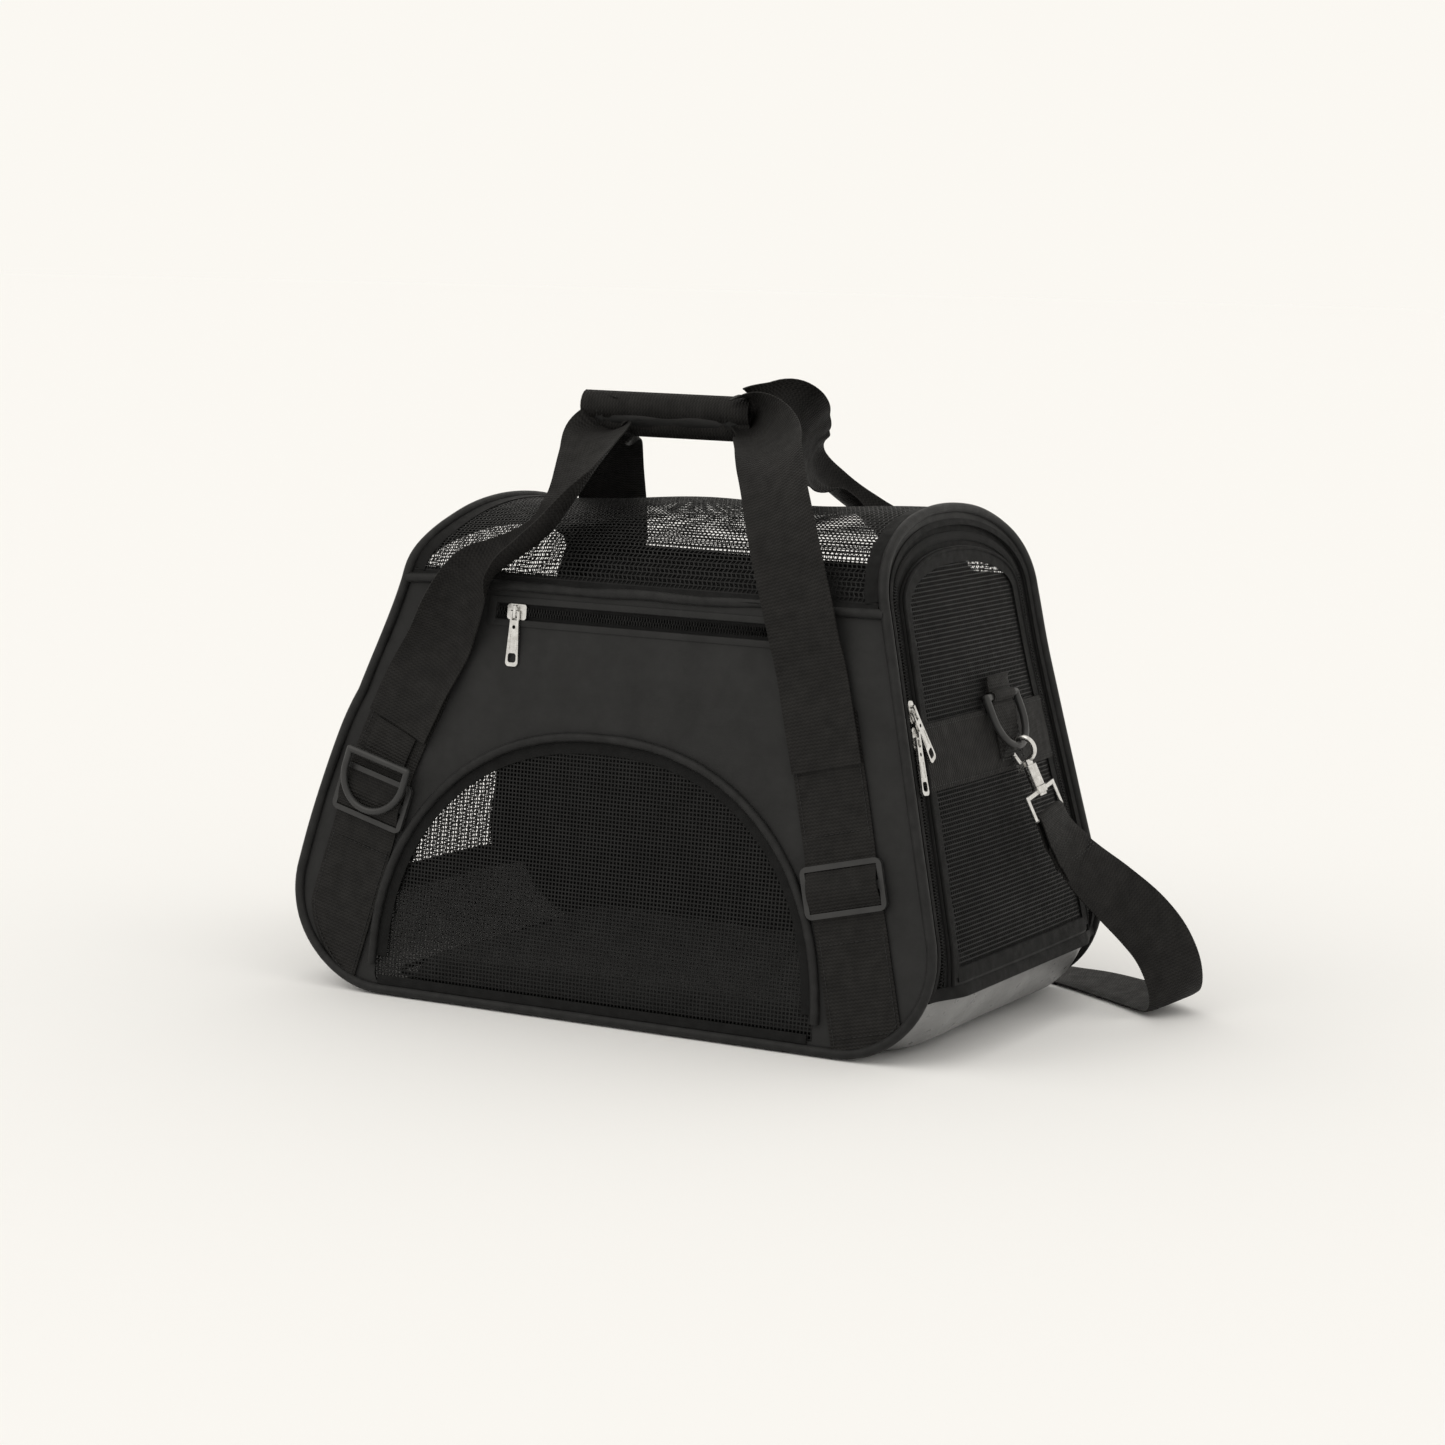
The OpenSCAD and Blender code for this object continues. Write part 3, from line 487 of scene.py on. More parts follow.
def strap(path, across, width, thick, curl=1.0, cells=10, step=3.0, wave=0.0, seed=1):
    """Webbing along a path. across gives the direction of its width and the straight distance
    from edge to edge there; where that is less than its width the webbing curls to fit."""
    path, across = respace(np.asarray(path, float), step, np.asarray(across, float))
    head = headings(path)
    chord = np.minimum(np.linalg.norm(across, axis=1), width * 0.9995)
    face = unit(np.cross(head, across))
    wide = unit(np.cross(face, head))
    half = np.interp(chord / width, np.sinc(np.linspace(0.9, 0, 200)), np.linspace(0.9, 0, 200) * math.pi)
    half = np.maximum(half, 1e-3)
    r = width / (2 * half)
    t = np.linspace(-1, 1, cells + 1)
    a = half[:, None] * t[None]
    x = r[:, None] * np.sin(a)
    y = curl * r[:, None] * (np.cos(a) - np.mean(np.cos(a), axis=1, keepdims=True))
    s = length_along(path)
    if wave:
        y = y + wave * ripple(s[:, None], t[None] * 20, seed, 60)
    slope = np.arctan2(np.gradient(y, axis=1), np.gradient(x, axis=1))
    nx, ny = -np.sin(slope), np.cos(slope)
    edge = thick / 2 * np.sqrt(np.clip(1 - np.abs(t) ** 14 * 0.75, 0, 1))[None]
    top = (x + nx * edge, y + ny * edge)
    low = (x - nx * edge, y - ny * edge)
    sx, sy = (np.concatenate([q, p[:, ::-1]], 1) for q, p in zip(top, low))
    rings = path[:, None] + sx[..., None] * wide[:, None] + sy[..., None] * face[:, None]
    across_mm = np.concatenate([t, t[::-1]]) * width / 2
    uv = np.stack(np.broadcast_arrays(s[:, None], across_mm[None]), -1)
    return rings.reshape(-1, 3), skin(rings), uv.reshape(-1, 2)


def in_polygon(p, poly):
    x, y = p[:, 0][:, None], p[:, 1][:, None]
    a, b = poly, np.roll(poly, -1, 0)
    cross = (a[None, :, 1] > y) != (b[None, :, 1] > y)
    with np.errstate(divide="ignore", invalid="ignore"):
        at = (b[:, 0] - a[:, 0]) * (y - a[None, :, 1]) / (b[:, 1] - a[:, 1]) + a[None, :, 0]
    return (cross & (x < at)).sum(1) % 2 == 1


def edge_distance(p, poly):
    a, b = poly, np.roll(poly, -1, 0)
    d = b - a
    t = np.clip(((p[:, None] - a) * d).sum(-1) / np.maximum((d * d).sum(-1), 1e-9), 0, 1)
    return np.linalg.norm(p[:, None] - a[None] - t[..., None] * d[None], axis=-1).min(1)


def closed(poly, step):
    poly = np.asarray(poly, float)
    return respace(np.vstack([poly, poly[:1]]), step)[:-1]


def patch(outline, holes, step):
    """A flat cloth shape cut into small triangles, as points (u, v) and triangles."""
    loops = [closed(q, step) for q in (outline, *holes)]
    lo, hi = loops[0].min(0), loops[0].max(0)
    g = np.stack(np.meshgrid(np.arange(lo[0], hi[0], step), np.arange(lo[1], hi[1], step * 0.866)), -1)
    g[1::2, :, 0] += step / 2
    g = g.reshape(-1, 2)
    g = g[in_polygon(g, loops[0]) & (edge_distance(g, loops[0]) > step * 0.45)]
    for h in loops[1:]:
        g = g[~in_polygon(g, h) & (edge_distance(g, h) > step * 0.45)]
    points, edges, n = [], [], 0
    for q in loops:
        points.append(q)
        edges += [(n + i, n + (i + 1) % len(q)) for i in range(len(q))]
        n += len(q)
    points = np.vstack([*points, g])
    v, _, f, *_ = delaunay_2d_cdt([Vector(p) for p in points], edges, [], 0, 1e-6)
    v = np.array([list(p) for p in v])
    f = np.array([list(t) for t in f if len(t) == 3])
    mid = v[f].mean(1)
    keep = in_polygon(mid, loops[0])
    for h in loops[1:]:
        keep &= ~in_polygon(mid, h)
    return v, f[keep]


def shell(points, tris, place, thick):
    """Cloth of some thickness over a flat shape: place(u, v, w) puts it in space, w outward."""
    u, v = points[:, 0], points[:, 1]
    n = len(points)
    verts = np.vstack([place(u, v, np.zeros(n)), place(u, v, np.full(n, -thick))])
    faces = [list(t) for t in tris] + [[t[2] + n, t[1] + n, t[0] + n] for t in tris]
    seen = {}
    for t in tris:
        for a, b in ((t[0], t[1]), (t[1], t[2]), (t[2], t[0])):
            seen[(a, b)] = seen.get((a, b), 0) + 1
    for a, b in seen:
        if (b, a) not in seen:
            faces.append([b, a, a + n, b + n])
    return verts, faces, np.vstack([points, points])


def net(inside, box, pitch, bar, place, thick=0.55, stagger=0.0):
    """An open net with real holes: small knots joined by bars, over a flat area."""
    u0, u1, v0, v1 = box
    us, vs = np.arange(u0, u1, pitch), np.arange(v0, v1, pitch)
    gu, gv = np.meshgrid(us, vs, indexing="ij")
    gu = gu + stagger * pitch * (np.arange(len(vs)) % 2)[None]
    keep = inside(np.stack([gu.ravel(), gv.ravel()], 1)).reshape(gu.shape)
    number = np.where(keep, np.cumsum(keep.ravel()).reshape(keep.shape) - 1, -1)
    cu, cv = gu[keep], gv[keep]
    h = bar / 2
    corner = [(-h, -h), (h, -h), (h, h), (-h, h)]
    layers = []
    for w in (0.0, -thick):
        for du, dv in corner:
            layers.append(place(cu + du, cv + dv, np.full(len(cu), w)))
    verts = np.stack(layers, 1).reshape(-1, 3)
    uv = np.tile(np.stack([cu, cv], 1)[:, None], (1, 8, 1)).reshape(-1, 2)
    i8 = number * 8

    def quads(a, cols):
        return np.stack([a[k] + c for k, c in cols], -1).reshape(-1, 4)

    out = []
    a = i8[keep]
    out += [quads([a], [(0, 0), (0, 1), (0, 2), (0, 3)]), quads([a], [(0, 7), (0, 6), (0, 5), (0, 4)])]
    both = keep[:-1] & keep[1:]
    p, q = i8[:-1][both], i8[1:][both]
    out += [quads([p, q], c) for c in (
        [(0, 1), (1, 0), (1, 3), (0, 2)], [(0, 6), (1, 7), (1, 4), (0, 5)],
        [(0, 5), (1, 4), (1, 0), (0, 1)], [(0, 2), (1, 3), (1, 7), (0, 6)])]
    both_v = keep[:, :-1] & keep[:, 1:]
    p, q = i8[:, :-1][both_v], i8[:, 1:][both_v]
    out += [quads([p, q], c) for c in (
        [(0, 3), (0, 2), (1, 1), (1, 0)], [(0, 7), (1, 4), (1, 5), (0, 6)],
        [(0, 7), (0, 3), (1, 0), (1, 4)], [(0, 2), (0, 6), (1, 5), (1, 1)])]
    pad = np.pad(keep, 1)
    rows, cols = keep.shape
    for du, dv, c in ((1, 0, (1, 5, 6, 2)), (-1, 0, (3, 7, 4, 0)), (0, 1, (2, 6, 7, 3)), (0, -1, (0, 4, 5, 1))):
        other = pad[1 + du:1 + du + rows, 1 + dv:1 + dv + cols]
        a = i8[keep & ~other]
        out.append(quads([a], [(0, k) for k in c]))
    return verts, np.vstack(out), uv


def stitches(bits, path, normal, pitch=3.3, long=2.5, r=0.3, lift=0.1):
    """A row of separate thread stitches on a path; normal points away from the cloth."""
    path = np.asarray(path, float)
    normal = np.broadcast_to(np.asarray(normal, float), path.shape)
    p, nrm = respace(path, pitch, normal)
    head = headings(p)
    a = np.arange(6) * math.pi / 3
    for k in range(len(p)):
        n = unit(nrm[k])
        side = unit(np.cross(head[k], n))
        rings = []
        for x, size, dip in ((-0.5, 0.55, -0.35), (-0.28, 1, 0), (0.28, 1, 0), (0.5, 0.55, -0.35)):
            c = p[k] + head[k] * x * long + n * (lift + dip * r)
            rings.append(c + size * r * (np.cos(a)[:, None] * side + np.sin(a)[:, None] * n))
        along = np.tile([k * pitch, 0.0], (24, 1))
        bits.add(np.concatenate(rings), skin(rings), along)


def teeth(bits, path, side, normal, start=0):
    """One row of coil teeth: small rounded loops across the zip, one each pitch."""
    inner, outer, pitch, high = -0.3, 2.6, 1.8, 1.15
    p, sd, nr = respace(path, pitch / 2, side, normal)
    pick = slice(start, None, 2)
    head = headings(p)[pick]
    p, sd, nr = p[pick], unit(sd[pick]), unit(nr[pick])
    a = np.arange(6) * math.pi / 3 + math.pi / 6
    for k in range(len(p)):
        rings = []
        for x, size in ((inner, 0.8), (inner + 0.5, 1.15), (outer - 0.5, 0.9), (outer, 0.75)):
            loop = 0.55 * np.cos(a)[:, None] * head[k] + high * np.sin(a)[:, None] * nr[k]
            rings.append(p[k] + sd[k] * x + size * loop)
        bits.add(np.concatenate(rings), skin(rings))


def polish(node, body, mat, bevel):
    """A CAD piece with softened edges and a finish of its own; it stands for the CAD node."""
    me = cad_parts[node].data
    bm = bmesh.new()
    bm.from_mesh(me)
    bmesh.ops.remove_doubles(bm, verts=bm.verts, dist=2e-6)
    bmesh.ops.dissolve_limit(bm, angle_limit=math.radians(2), verts=bm.verts, edges=bm.edges)
    co = np.array([v.co for v in bm.verts]) / MM
    faces = [[v.index for v in f.verts] for f in bm.faces]
    bm.free()
    ob = make(node + "_piece", co, faces, body, mat, (node,), smooth=35)
    if bevel:
        mod = ob.modifiers.new("soft_edges", "BEVEL")
        mod.width, mod.segments, mod.limit_method = bevel * MM, 2, "ANGLE"
        mod.angle_limit = math.radians(35)
        ob.data.polygons.foreach_set("use_smooth", [True] * len(ob.data.polygons))
    return ob


# ---------------------------------------------------------------- shoulder strap, not attached to any body
STRAP_ROUTE = [[216, 27, 115], [221, 34, 104], [230, 46, 90], [242, 58, 76], [256, 69, 60],
    [267, 76, 44], [274, 80, 25], [270, 90, 9], [252, 105, 5], [224, 125, 4], [192, 145, 3],
    [152, 164, 1.4], [100, 180, 1.2], [40, 178, 1.2], [-20, 164, 1.2], [-80, 164, 1.2],
    [-136, 178, 1.2], [-186, 176, 1.2], [-226, 154, 3], [-256, 122, 7], [-272, 96, 22],
    [-270, 80, 44], [-256, 69, 60], [-242, 58, 76], [-230, 46, 90], [-221, 34, 104], [-216, 27, 115]]
STRAP_ACROSS = [[-2, 38, 5], [2, 37, 9], [9, 34, 14], [16, 30, 18], [22, 24, 19],
    [23, 25, 17], [22, 27, 14], [21, 29, 10], [21, 31, 7], [21, 31, 6], [20, 32, 4],
    [15, 35, 0], [6, 37, 0], [-6, 37, 0], [-8, 37, 0], [0, 38, 0],
    [0, 38, 0], [-12, 36, 0], [-20, 32, 2], [-22, 29, 8], [-22, 27, 12],
    [-23, 25, 16], [-22, 24, 19], [-16, 30, 18], [-9, 34, 14], [-2, 37, 9], [2, 38, 5]]
STRAP_W, STRAP_T = 38.0, 1.8
strap_path = smooth_path(STRAP_ROUTE, 312)
strap_wide = unit(smooth_path(STRAP_ACROSS, 312)) * STRAP_W

# the ring of an end: its bar in (u, v, w), its wire, and the ring's tilt and drop; and the hook
RING_U, RING_V, RING_H, RING_R, RING_TILT, RING_DROP = 16.0, 197.0, 7.0, 3.1, 10.0, 10.0
HOOK_TURN, HOOK_HANG, FRAME_BAR = 8.0, 21.2, -43.0


def hook_place(x, y, z):
    """A point of the right hook, drawn hanging in -y from the wire of its D-ring."""
    a, t = math.radians(HOOK_TURN), math.radians(RING_TILT)
    y = y - HOOK_HANG
    x, y = x * math.cos(a) - y * math.sin(a), x * math.sin(a) + y * math.cos(a) - RING_DROP
    v, w = y * math.cos(t) + z * math.sin(t), z * math.cos(t) - y * math.sin(t)
    return right(RING_U + x, RING_V + v, RING_H + w)


def hook_webbing(side):
    """The end of the shoulder strap, folded over the bar of its hook frame and sewn."""
    sign = 1.0 if side == "right" else -1.0
    flip = np.array([sign, 1, 1])
    s = length_along(strap_path)
    face = unit(np.cross(strap_wide, headings(strap_path)))

    def on_strap(at, lift):
        d = at if side == "right" else s[-1] - at
        p, n, w = (np.array([np.interp(d, s, c) for c in q.T]) for q in (strap_path, face, strap_wide))
        return p + lift * unit(n) * np.sign(n[0] * sign), w

    bar = unit(hook_place(1.0, FRAME_BAR, 0.0) - hook_place(0.0, FRAME_BAR, 0.0)) * STRAP_W * flip
    round_bar = ((-46.5, -2.0), (-43, -2.1), (-41.5, -1.6), (-40.9, 0.0), (-41.5, 1.6), (-43, 2.1), (-46.5, 2.0))
    rows = [on_strap(15, -1.9), on_strap(3, -2.0)]
    rows += [(hook_place(0.0, y, z) * flip, bar) for y, z in round_bar]
    rows += [on_strap(3, 2.0), on_strap(13, 1.9), on_strap(24, 1.8)]
    path, across = (np.array(q) for q in zip(*rows))
    across = np.where(across[:, 1:2] > 0, across, -across)
    v, f, uv = strap(path, across, STRAP_W - 0.6, 1.6, step=1.2)
    body = "door" if side == "right" else "bag"
    fold = make(side + "_strap_end_fold", v, f, body, WEB, (), uv)
    thread = Bits()
    for at in (9, 20, 22):
        (p, w), (under, _) = on_strap(at, 2.75), on_strap(at, 1.75)
        half = unit(w) * (STRAP_W / 2 - 2.5)
        stitches(thread, np.array([p - half, p - half / 3, p + half / 3, p + half]), unit(p - under))
    return [fold, thread.make(side + "_strap_end_stitching", body, "black_webbing", THREAD)]


def cord_and_its_pieces():
    v, f, uv = strap(strap_path, strap_wide, STRAP_W, STRAP_T)
    cord = make("shoulder_strap_webbing", v, f, None, WEB, ("shoulder_strap",), uv)
    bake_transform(cord)
    on_it = [polish("strap_adjuster", "bag", PLASTIC, 0.4)]
    for side, body in (("right", "door"), ("left", "bag")):
        on_it.append(polish(side + "_hook_frame", body, ZINC, 0.25))
        on_it.append(polish(side + "_hook_body", side + "_hook", ZINC, 0.25))
        on_it.append(polish(side + "_hook_gate", side + "_gate", ZINC, 0.15))
        on_it += hook_webbing(side)
    float(length_along(strap_path)[-1]) * MM


cord_and_its_pieces()


# ---------------------------------------------------------------- outlines of the panels, in (u, v)
def arc(cx, cy, r, a0, a1, n):
    a = np.radians(np.linspace(a0, a1, n + 1))
    return np.stack([cx + r * np.cos(a), cy + r * np.sin(a)], 1)


def both_sides(half):
    return np.vstack([half, half[::-1] * [-1, 1]])


def panel_outline(d, top_d):
    top = PANEL_TOP - top_d
    half = np.vstack([arc(BEND_X, BEND_V, CORNER_R - d, -90, BEND_TURN, 14),
                      [[END_FOOT - PANEL_LEAN * top - d * BEND_REACH, top]]])
    return both_sides(half)


def window_outline(d):
    a = np.linspace(0, math.pi, 61)
    c = np.abs(np.cos(a)) ** (2 / WINDOW_POWER) * np.sign(np.cos(a))
    s = np.abs(np.sin(a)) ** (2 / WINDOW_POWER)
    return np.stack([WINDOW_X + (WINDOW_W / 2 - d) * c, WINDOW_FOOT + d + (WINDOW_H - 2 * d) * s], 1)


def zip_box(grow):
    x0, x1, h = ZIP_LEFT - grow, ZIP_RIGHT + grow, 7.5 + grow
    return np.array([[x0, ZIP_V - h], [x1, ZIP_V - h], [x1, ZIP_V + h], [x0, ZIP_V + h]])


def quarter_arch(wide, rise, n):
    a = np.linspace(0, math.pi / 2, n)
    return wide * np.cos(a) ** (2 / ARCH_POWER), rise * np.sin(a) ** (2 / ARCH_POWER)


def arch_loop(d, v0):
    """The outline of an end, set in by d, from the front foot over the ridge to the rear foot."""
    wide, rise = quarter_arch(SEAM_HALF - d, ARCH_RISE - d, 41)
    v = np.linspace(v0, SEAM_V, 12)[:-1]
    side = np.stack([BASE_HALF - SIDE_LEAN * v - d, v], 1)
    half = np.vstack([side, np.stack([wide, SEAM_V + rise], 1)])
    return np.vstack([half * [-1, 1], half[::-1][1:]])


def with_sill(loop, v):
    """A loop of an end, closed along a straight sill at height v."""
    return closed(np.vstack([loop, [[loop[-1, 0], v], [loop[0, 0], v]]]), 3.5)


# ---------------------------------------------------------------- how the cloth swells and puckers
def webbing_gap(u, v):
    """Distance from the two sewn webbings of a long side, beyond their edges."""
    out = []
    for foot, turn, _ in (LEFT_WEB, RIGHT_WEB):
        c, s = math.cos(math.radians(turn)), math.sin(math.radians(turn))
        out.append(np.abs((u - foot) * c - v * s) - 24)
    return np.minimum(*out)


def side_swell(u, v, seed=3):
    free = step_up((webbing_gap(u, v) - 2) / 30) * step_up((ZIP_V - 10 - v) / 26) * step_up(v / 25)
    seam = np.minimum(END_FOOT - PANEL_LEAN * v - np.abs(u), v) - 3
    dip = -1.1 * np.exp(-np.clip(seam, 0, 99) / 4)
    return 1.7 * free + 0.45 * ripple(u, v, seed, 95) * free + dip * 0.5 + 0.12 * ripple(u, v, seed + 1, 22)


def front_cloth(u, v, w):
    return front(u, v, w + side_swell(u, v))


def rear_cloth(u, v, w):
    belly = 2.2 * np.sin(np.clip(v / PANEL_TOP, 0, 1) * math.pi) * step_up((webbing_gap(u, v) - 2) / 40)
    return warp(rear(u, v, w + side_swell(u, v, 9) + belly))


def end_swell(u, v):
    wide = np.clip(np.abs(u) / (BASE_HALF - SIDE_LEAN * v - ZIP_INSET - 8), 0, 1)
    tall = np.clip((v - DOOR_V) / (RIDGE_H * END_STRETCH - 26 - DOOR_V), 0, 1)
    room = (1 - wide ** 2.4) * np.sin(tall * math.pi) ** 0.7
    return 4.6 * room + 0.35 * ripple(u, v, 17, 80) * room


def right_cloth(u, v, w):
    return warp(right(u, v, w + end_swell(u, v)))


def left_cloth(u, v, w):
    return warp(left(u, v, w + end_swell(u, v)))


def arch_section():
    """Where the mesh top runs, as (length along it, y, z) from the front seam to the rear."""
    wide, rise = quarter_arch(SEAM_HALF, RIDGE_H - SEAM_H, 60)
    half = np.stack([wide, SEAM_H + rise], 1)
    p = np.vstack([half * [-1, 1], half[::-1][1:]])
    return length_along(p), p


ARCH_S, ARCH_P = arch_section()


def top_cloth(u, v, w):
    """The mesh top: u along the bag, v along the arch from the front seam; it sags a little."""
    y, z = np.interp(v, ARCH_S, ARCH_P[:, 0]), np.interp(v, ARCH_S, ARCH_P[:, 1])
    t = v / ARCH_S[-1]
    nz = np.sin(t * math.pi)
    sag = 3.6 * np.clip(1 - (np.abs(u) / 158) ** 2.2, 0, 1) * nz
    pull = 1.1 * ripple(u, v, 23, 105) * np.clip(1 - (np.abs(u) / 165) ** 4, 0, 1) * nz ** 0.5
    fold = 1.6 * np.exp(-(((v - 62 - 0.22 * u) / 9) ** 2)) * np.exp(-(((u - 10) / 70) ** 2))
    out = unit(vec(0, y * 0.5, z - SEAM_H + 30))
    return lean_left(warp(vec(u, y, z) + out * (w - sag + pull + fold)[..., None]))


# ---------------------------------------------------------------- front and rear walls
def cloth_piece(name, outline, holes, place, thick, body, mat, replaces=(), step=5.0):
    p, t = patch(outline, holes, step)
    v, f, uv = shell(p, t, place, thick)
    return make(name, v, f, body, mat, replaces, uv)


def beside(path2, place, w, d=1.0):
    """Points on a wall and its outward direction there, for a path drawn in (u, v)."""
    u, v = path2[:, 0], path2[:, 1]
    base = place(u, v, np.full(len(u), w))
    return base, unit(place(u, v, np.full(len(u), w + d)) - base)


def bead_on(bits, path2, place, w, r, wobble=0.12, seed=1, sides=12):
    path2 = respace(path2, 3.0)
    p, n = beside(path2, place, w)
    s = length_along(p)
    v, f, uv = tube(p, r * (1 + wobble * 0.5 * ripple(s, 0 * s, seed, 30)), n, sides)
    bits.add(v, f, uv)


def ribbon_on(bits, path2, place, width, w, thick=0.8, step=3.0):
    """Flat tape lying on a wall along a path drawn in (u, v)."""
    p, n = beside(respace(path2, step), place, w)
    across = unit(np.cross(headings(p), n)) * width
    v, f, uv = strap(p, across, width, thick, cells=4, step=step)
    bits.add(v, f, uv)


def across(bits, u0, u1, v, place, width, w, thick):
    """A level ribbon on a wall."""
    ribbon_on(bits, np.array([[u0, v], [u1, v]], float), place, width, w, thick)


def long_side():
    cloth_piece("front_cloth_panel", panel_outline(2.2, 1.5), [window_outline(0), zip_box(-2.9)], front_cloth,
                1.3, "bag", CLOTH, ("front_panel",))
    cloth_piece("rear_cloth_panel", panel_outline(2.2, 1.5), [], rear_cloth, 1.3, "bag",
                CLOTH, ("rear_panel",), step=6)
    win = np.vstack([window_outline(-2.5), [[WINDOW_LEFT - 2.5, 6.2], [WINDOW_RIGHT + 2.5, 6.2]]])

    def slack(u, v, w):
        hollow = 1.5 * np.sin(np.clip(v / 160, 0, 1) * 3.14)
        return front(u, v, w - 0.9 + 1.2 * side_swell(u, v) - hollow)

    v, f, uv = net(lambda p: in_polygon(p, win), (-158, 140, 6.4, 168), 2.35, 0.78, slack, 0.35)
    make("front_window_net", v, f, "bag", NET, ("front_window_mesh",), uv)
    beads = Bits()
    rim = window_outline(-1.6)
    bead_on(beads, rim[rim[:, 1] > 9], front_cloth, 1.5, 2.7, 0.08, 4)
    beads.make("window_arch_piping", "bag", "black_piping", PIPE, ("window_piping",))
    flat = Bits()
    ribbon_on(flat, window_outline(4.2)[1:-1], front_cloth, 7.5, -0.2, 0.9)
    across(flat, -152, 134, 9, front_cloth, 5.5, 0.9, 1.0)
    flat.make("window_binding", "bag", "black_piping", TAPE, ("front_hem",))
    inner, low = panel_outline(7.5, 1.5), 176.0
    top_only = both_sides(np.array([[END_FOOT - PANEL_LEAN * low - 9, low], inner[len(inner) // 2 - 1]]))
    cloth_piece("pocket_bag", top_only, [], lambda u, v, w: front(u, v, w - 5.4 + 0.5 * ripple(u, v, 31, 60)),
                0.9, "bag", LINING, ("pocket_lining",), step=8)
    welt = Bits()
    for s in (-1, 1):
        across(welt, ZIP_LEFT - 2, ZIP_RIGHT + 2, ZIP_V + s * 6.7, front_cloth, 3.6, 0.45, 1.0)
    for x in (ZIP_LEFT, ZIP_RIGHT):
        ribbon_on(welt, np.array([[x, ZIP_V - 8.5], [x, ZIP_V + 8.5]]), front_cloth, 5, 0.5, 1.1)
    welt.make("pocket_zip_welt", "bag", "charcoal_cloth", CLOTH)


def beads_round():
    path = both_sides(arc(BEND_X, BEND_V, CORNER_R, BEND_TURN + 3, -90, 22))
    low = Bits()
    for place in (front, rear):
        bead_on(low, path, place, 0.0, PIPING_R, 0.05, 6)
    low.make("bottom_piping_cord", "bag", "black_piping", PIPE, ("bottom_pipings",))
    bend_top_v = (BEND_V + CORNER_R * math.sin(math.radians(BEND_TURN))) * END_STRETCH / FRONT_STRETCH
    for end, place in (("right", right), ("left", left)):
        b = Bits()
        bead_on(b, arch_loop(0, bend_top_v - 3), lambda u, v, w, q=place: warp(q(u, v, w)), 0.0, PIPING_R, 0.05, 8)
        b.make(end + "_arch_piping_cord", "bag", "black_piping", PIPE, (end + "_arch_piping",))
    x = np.linspace(-162, 162, 140)
    seams = Bits()
    for side in (-1, 1):
        y = side * (SEAM_HALF + 0.3) + 0.5 * ripple(x, 0 * x, 41, 60)
        p = vec(x, y, SEAM_H + 0.6 * ripple(x, 0 * x, 42 + side, 70))
        v, f, uv = tube(lean_left(warp(p)), 3.1 * (1 + 0.1 * ripple(x, 0 * x, 43, 40)), [0, 0, 1], 12)
        seams.add(v, f, uv)
    seams.make("top_seam_piping", "bag", "black_piping", PIPE, ("seam_pipings",))


def mesh_top():
    total = ARCH_S[-1]

    def inside(lo, hi):
        def test(p):
            z = np.interp(p[:, 1], ARCH_S, ARCH_P[:, 1])
            return (np.abs(p[:, 0]) < END_FOOT - END_LEAN * z - 2.4) & (p[:, 1] > lo) & (p[:, 1] < hi)
        return test

    pitch = 2.9
    mid = round(total / 2 / pitch) * pitch
    for name, lo, hi in (("mesh_top_front_half", 2.0, mid + 0.1), ("mesh_top_rear_half", mid - 2.85, total - 2)):
        v, f, uv = net(inside(lo, hi), (-166, 166, 0, total), pitch, 0.74, top_cloth, 0.3, 0.35)
        make(name, v, f, "bag", NET, ("top_mesh",), uv)
    hem = Bits()
    for v in (4.0, total - 4.0):
        across(hem, -158, 158, v, top_cloth, 8, 0.2, 0.9)
    v = np.linspace(6, total - 6, 70)
    reach = END_FOOT - END_LEAN * np.interp(v, ARCH_S, ARCH_P[:, 1]) - 7.2
    for sign in (-1, 1):
        ribbon_on(hem, np.stack([sign * reach, v], 1), top_cloth, 8, 0.2, 0.9)
    hem.make("mesh_top_binding", "bag", "black_piping", TAPE)


def end_net(name, cloth, inset, low, body, node):
    edge = arch_loop(inset, DOOR_V)
    v, f, uv = net(lambda p: in_polygon(p, edge) & (p[:, 1] > DOOR_V + low), (-118, 118, 44, 300), 2.5, 0.66,
                   lambda u, v, w: cloth(u, v, w - 0.7), 0.3, 0.5)
    make(name, v, f, body, NET, (node,), uv)


def band(name, place, edge_d, body, node):
    edge = arch_loop(edge_d, DOOR_V)[:40]
    low, high = (float(np.interp(q, edge[:, 1], -edge[:, 0])) for q in (BAND_LOW, BAND_HIGH))
    out = np.array([[-low, BAND_LOW], [low, BAND_LOW], [high, BAND_HIGH], [-high, BAND_HIGH]])
    cloth_piece(name, out, [], lambda a, b, w: place(a, b, w + 1.3 + 0.25 * ripple(a, b, 51, 45)), 1.3, body,
                WEB, (node,), step=5)
    thread = Bits()
    for q in (BAND_LOW + 2.5, BAND_HIGH - 2.5):
        half = float(np.interp(q, edge[:, 1], -edge[:, 0])) - 2
        stitches(thread, *beside(respace(np.array([[-half, q], [half, q]]), 6), place, 1.4))
    # the box with a cross that holds the tab of the ring
    a, b, c, d = (1, 187), (31, 187), (31, 160), (1, 160)
    for line in ((a, b), (b, c), (c, d), (d, a), (a, c), (b, d)):
        stitches(thread, *beside(respace(np.array(line, float), 5), place, 3.1))
    thread.make(name + "_stitching", body, "black_webbing", THREAD)


def flat_right(u, v, w):
    return warp(right(u, v, w))


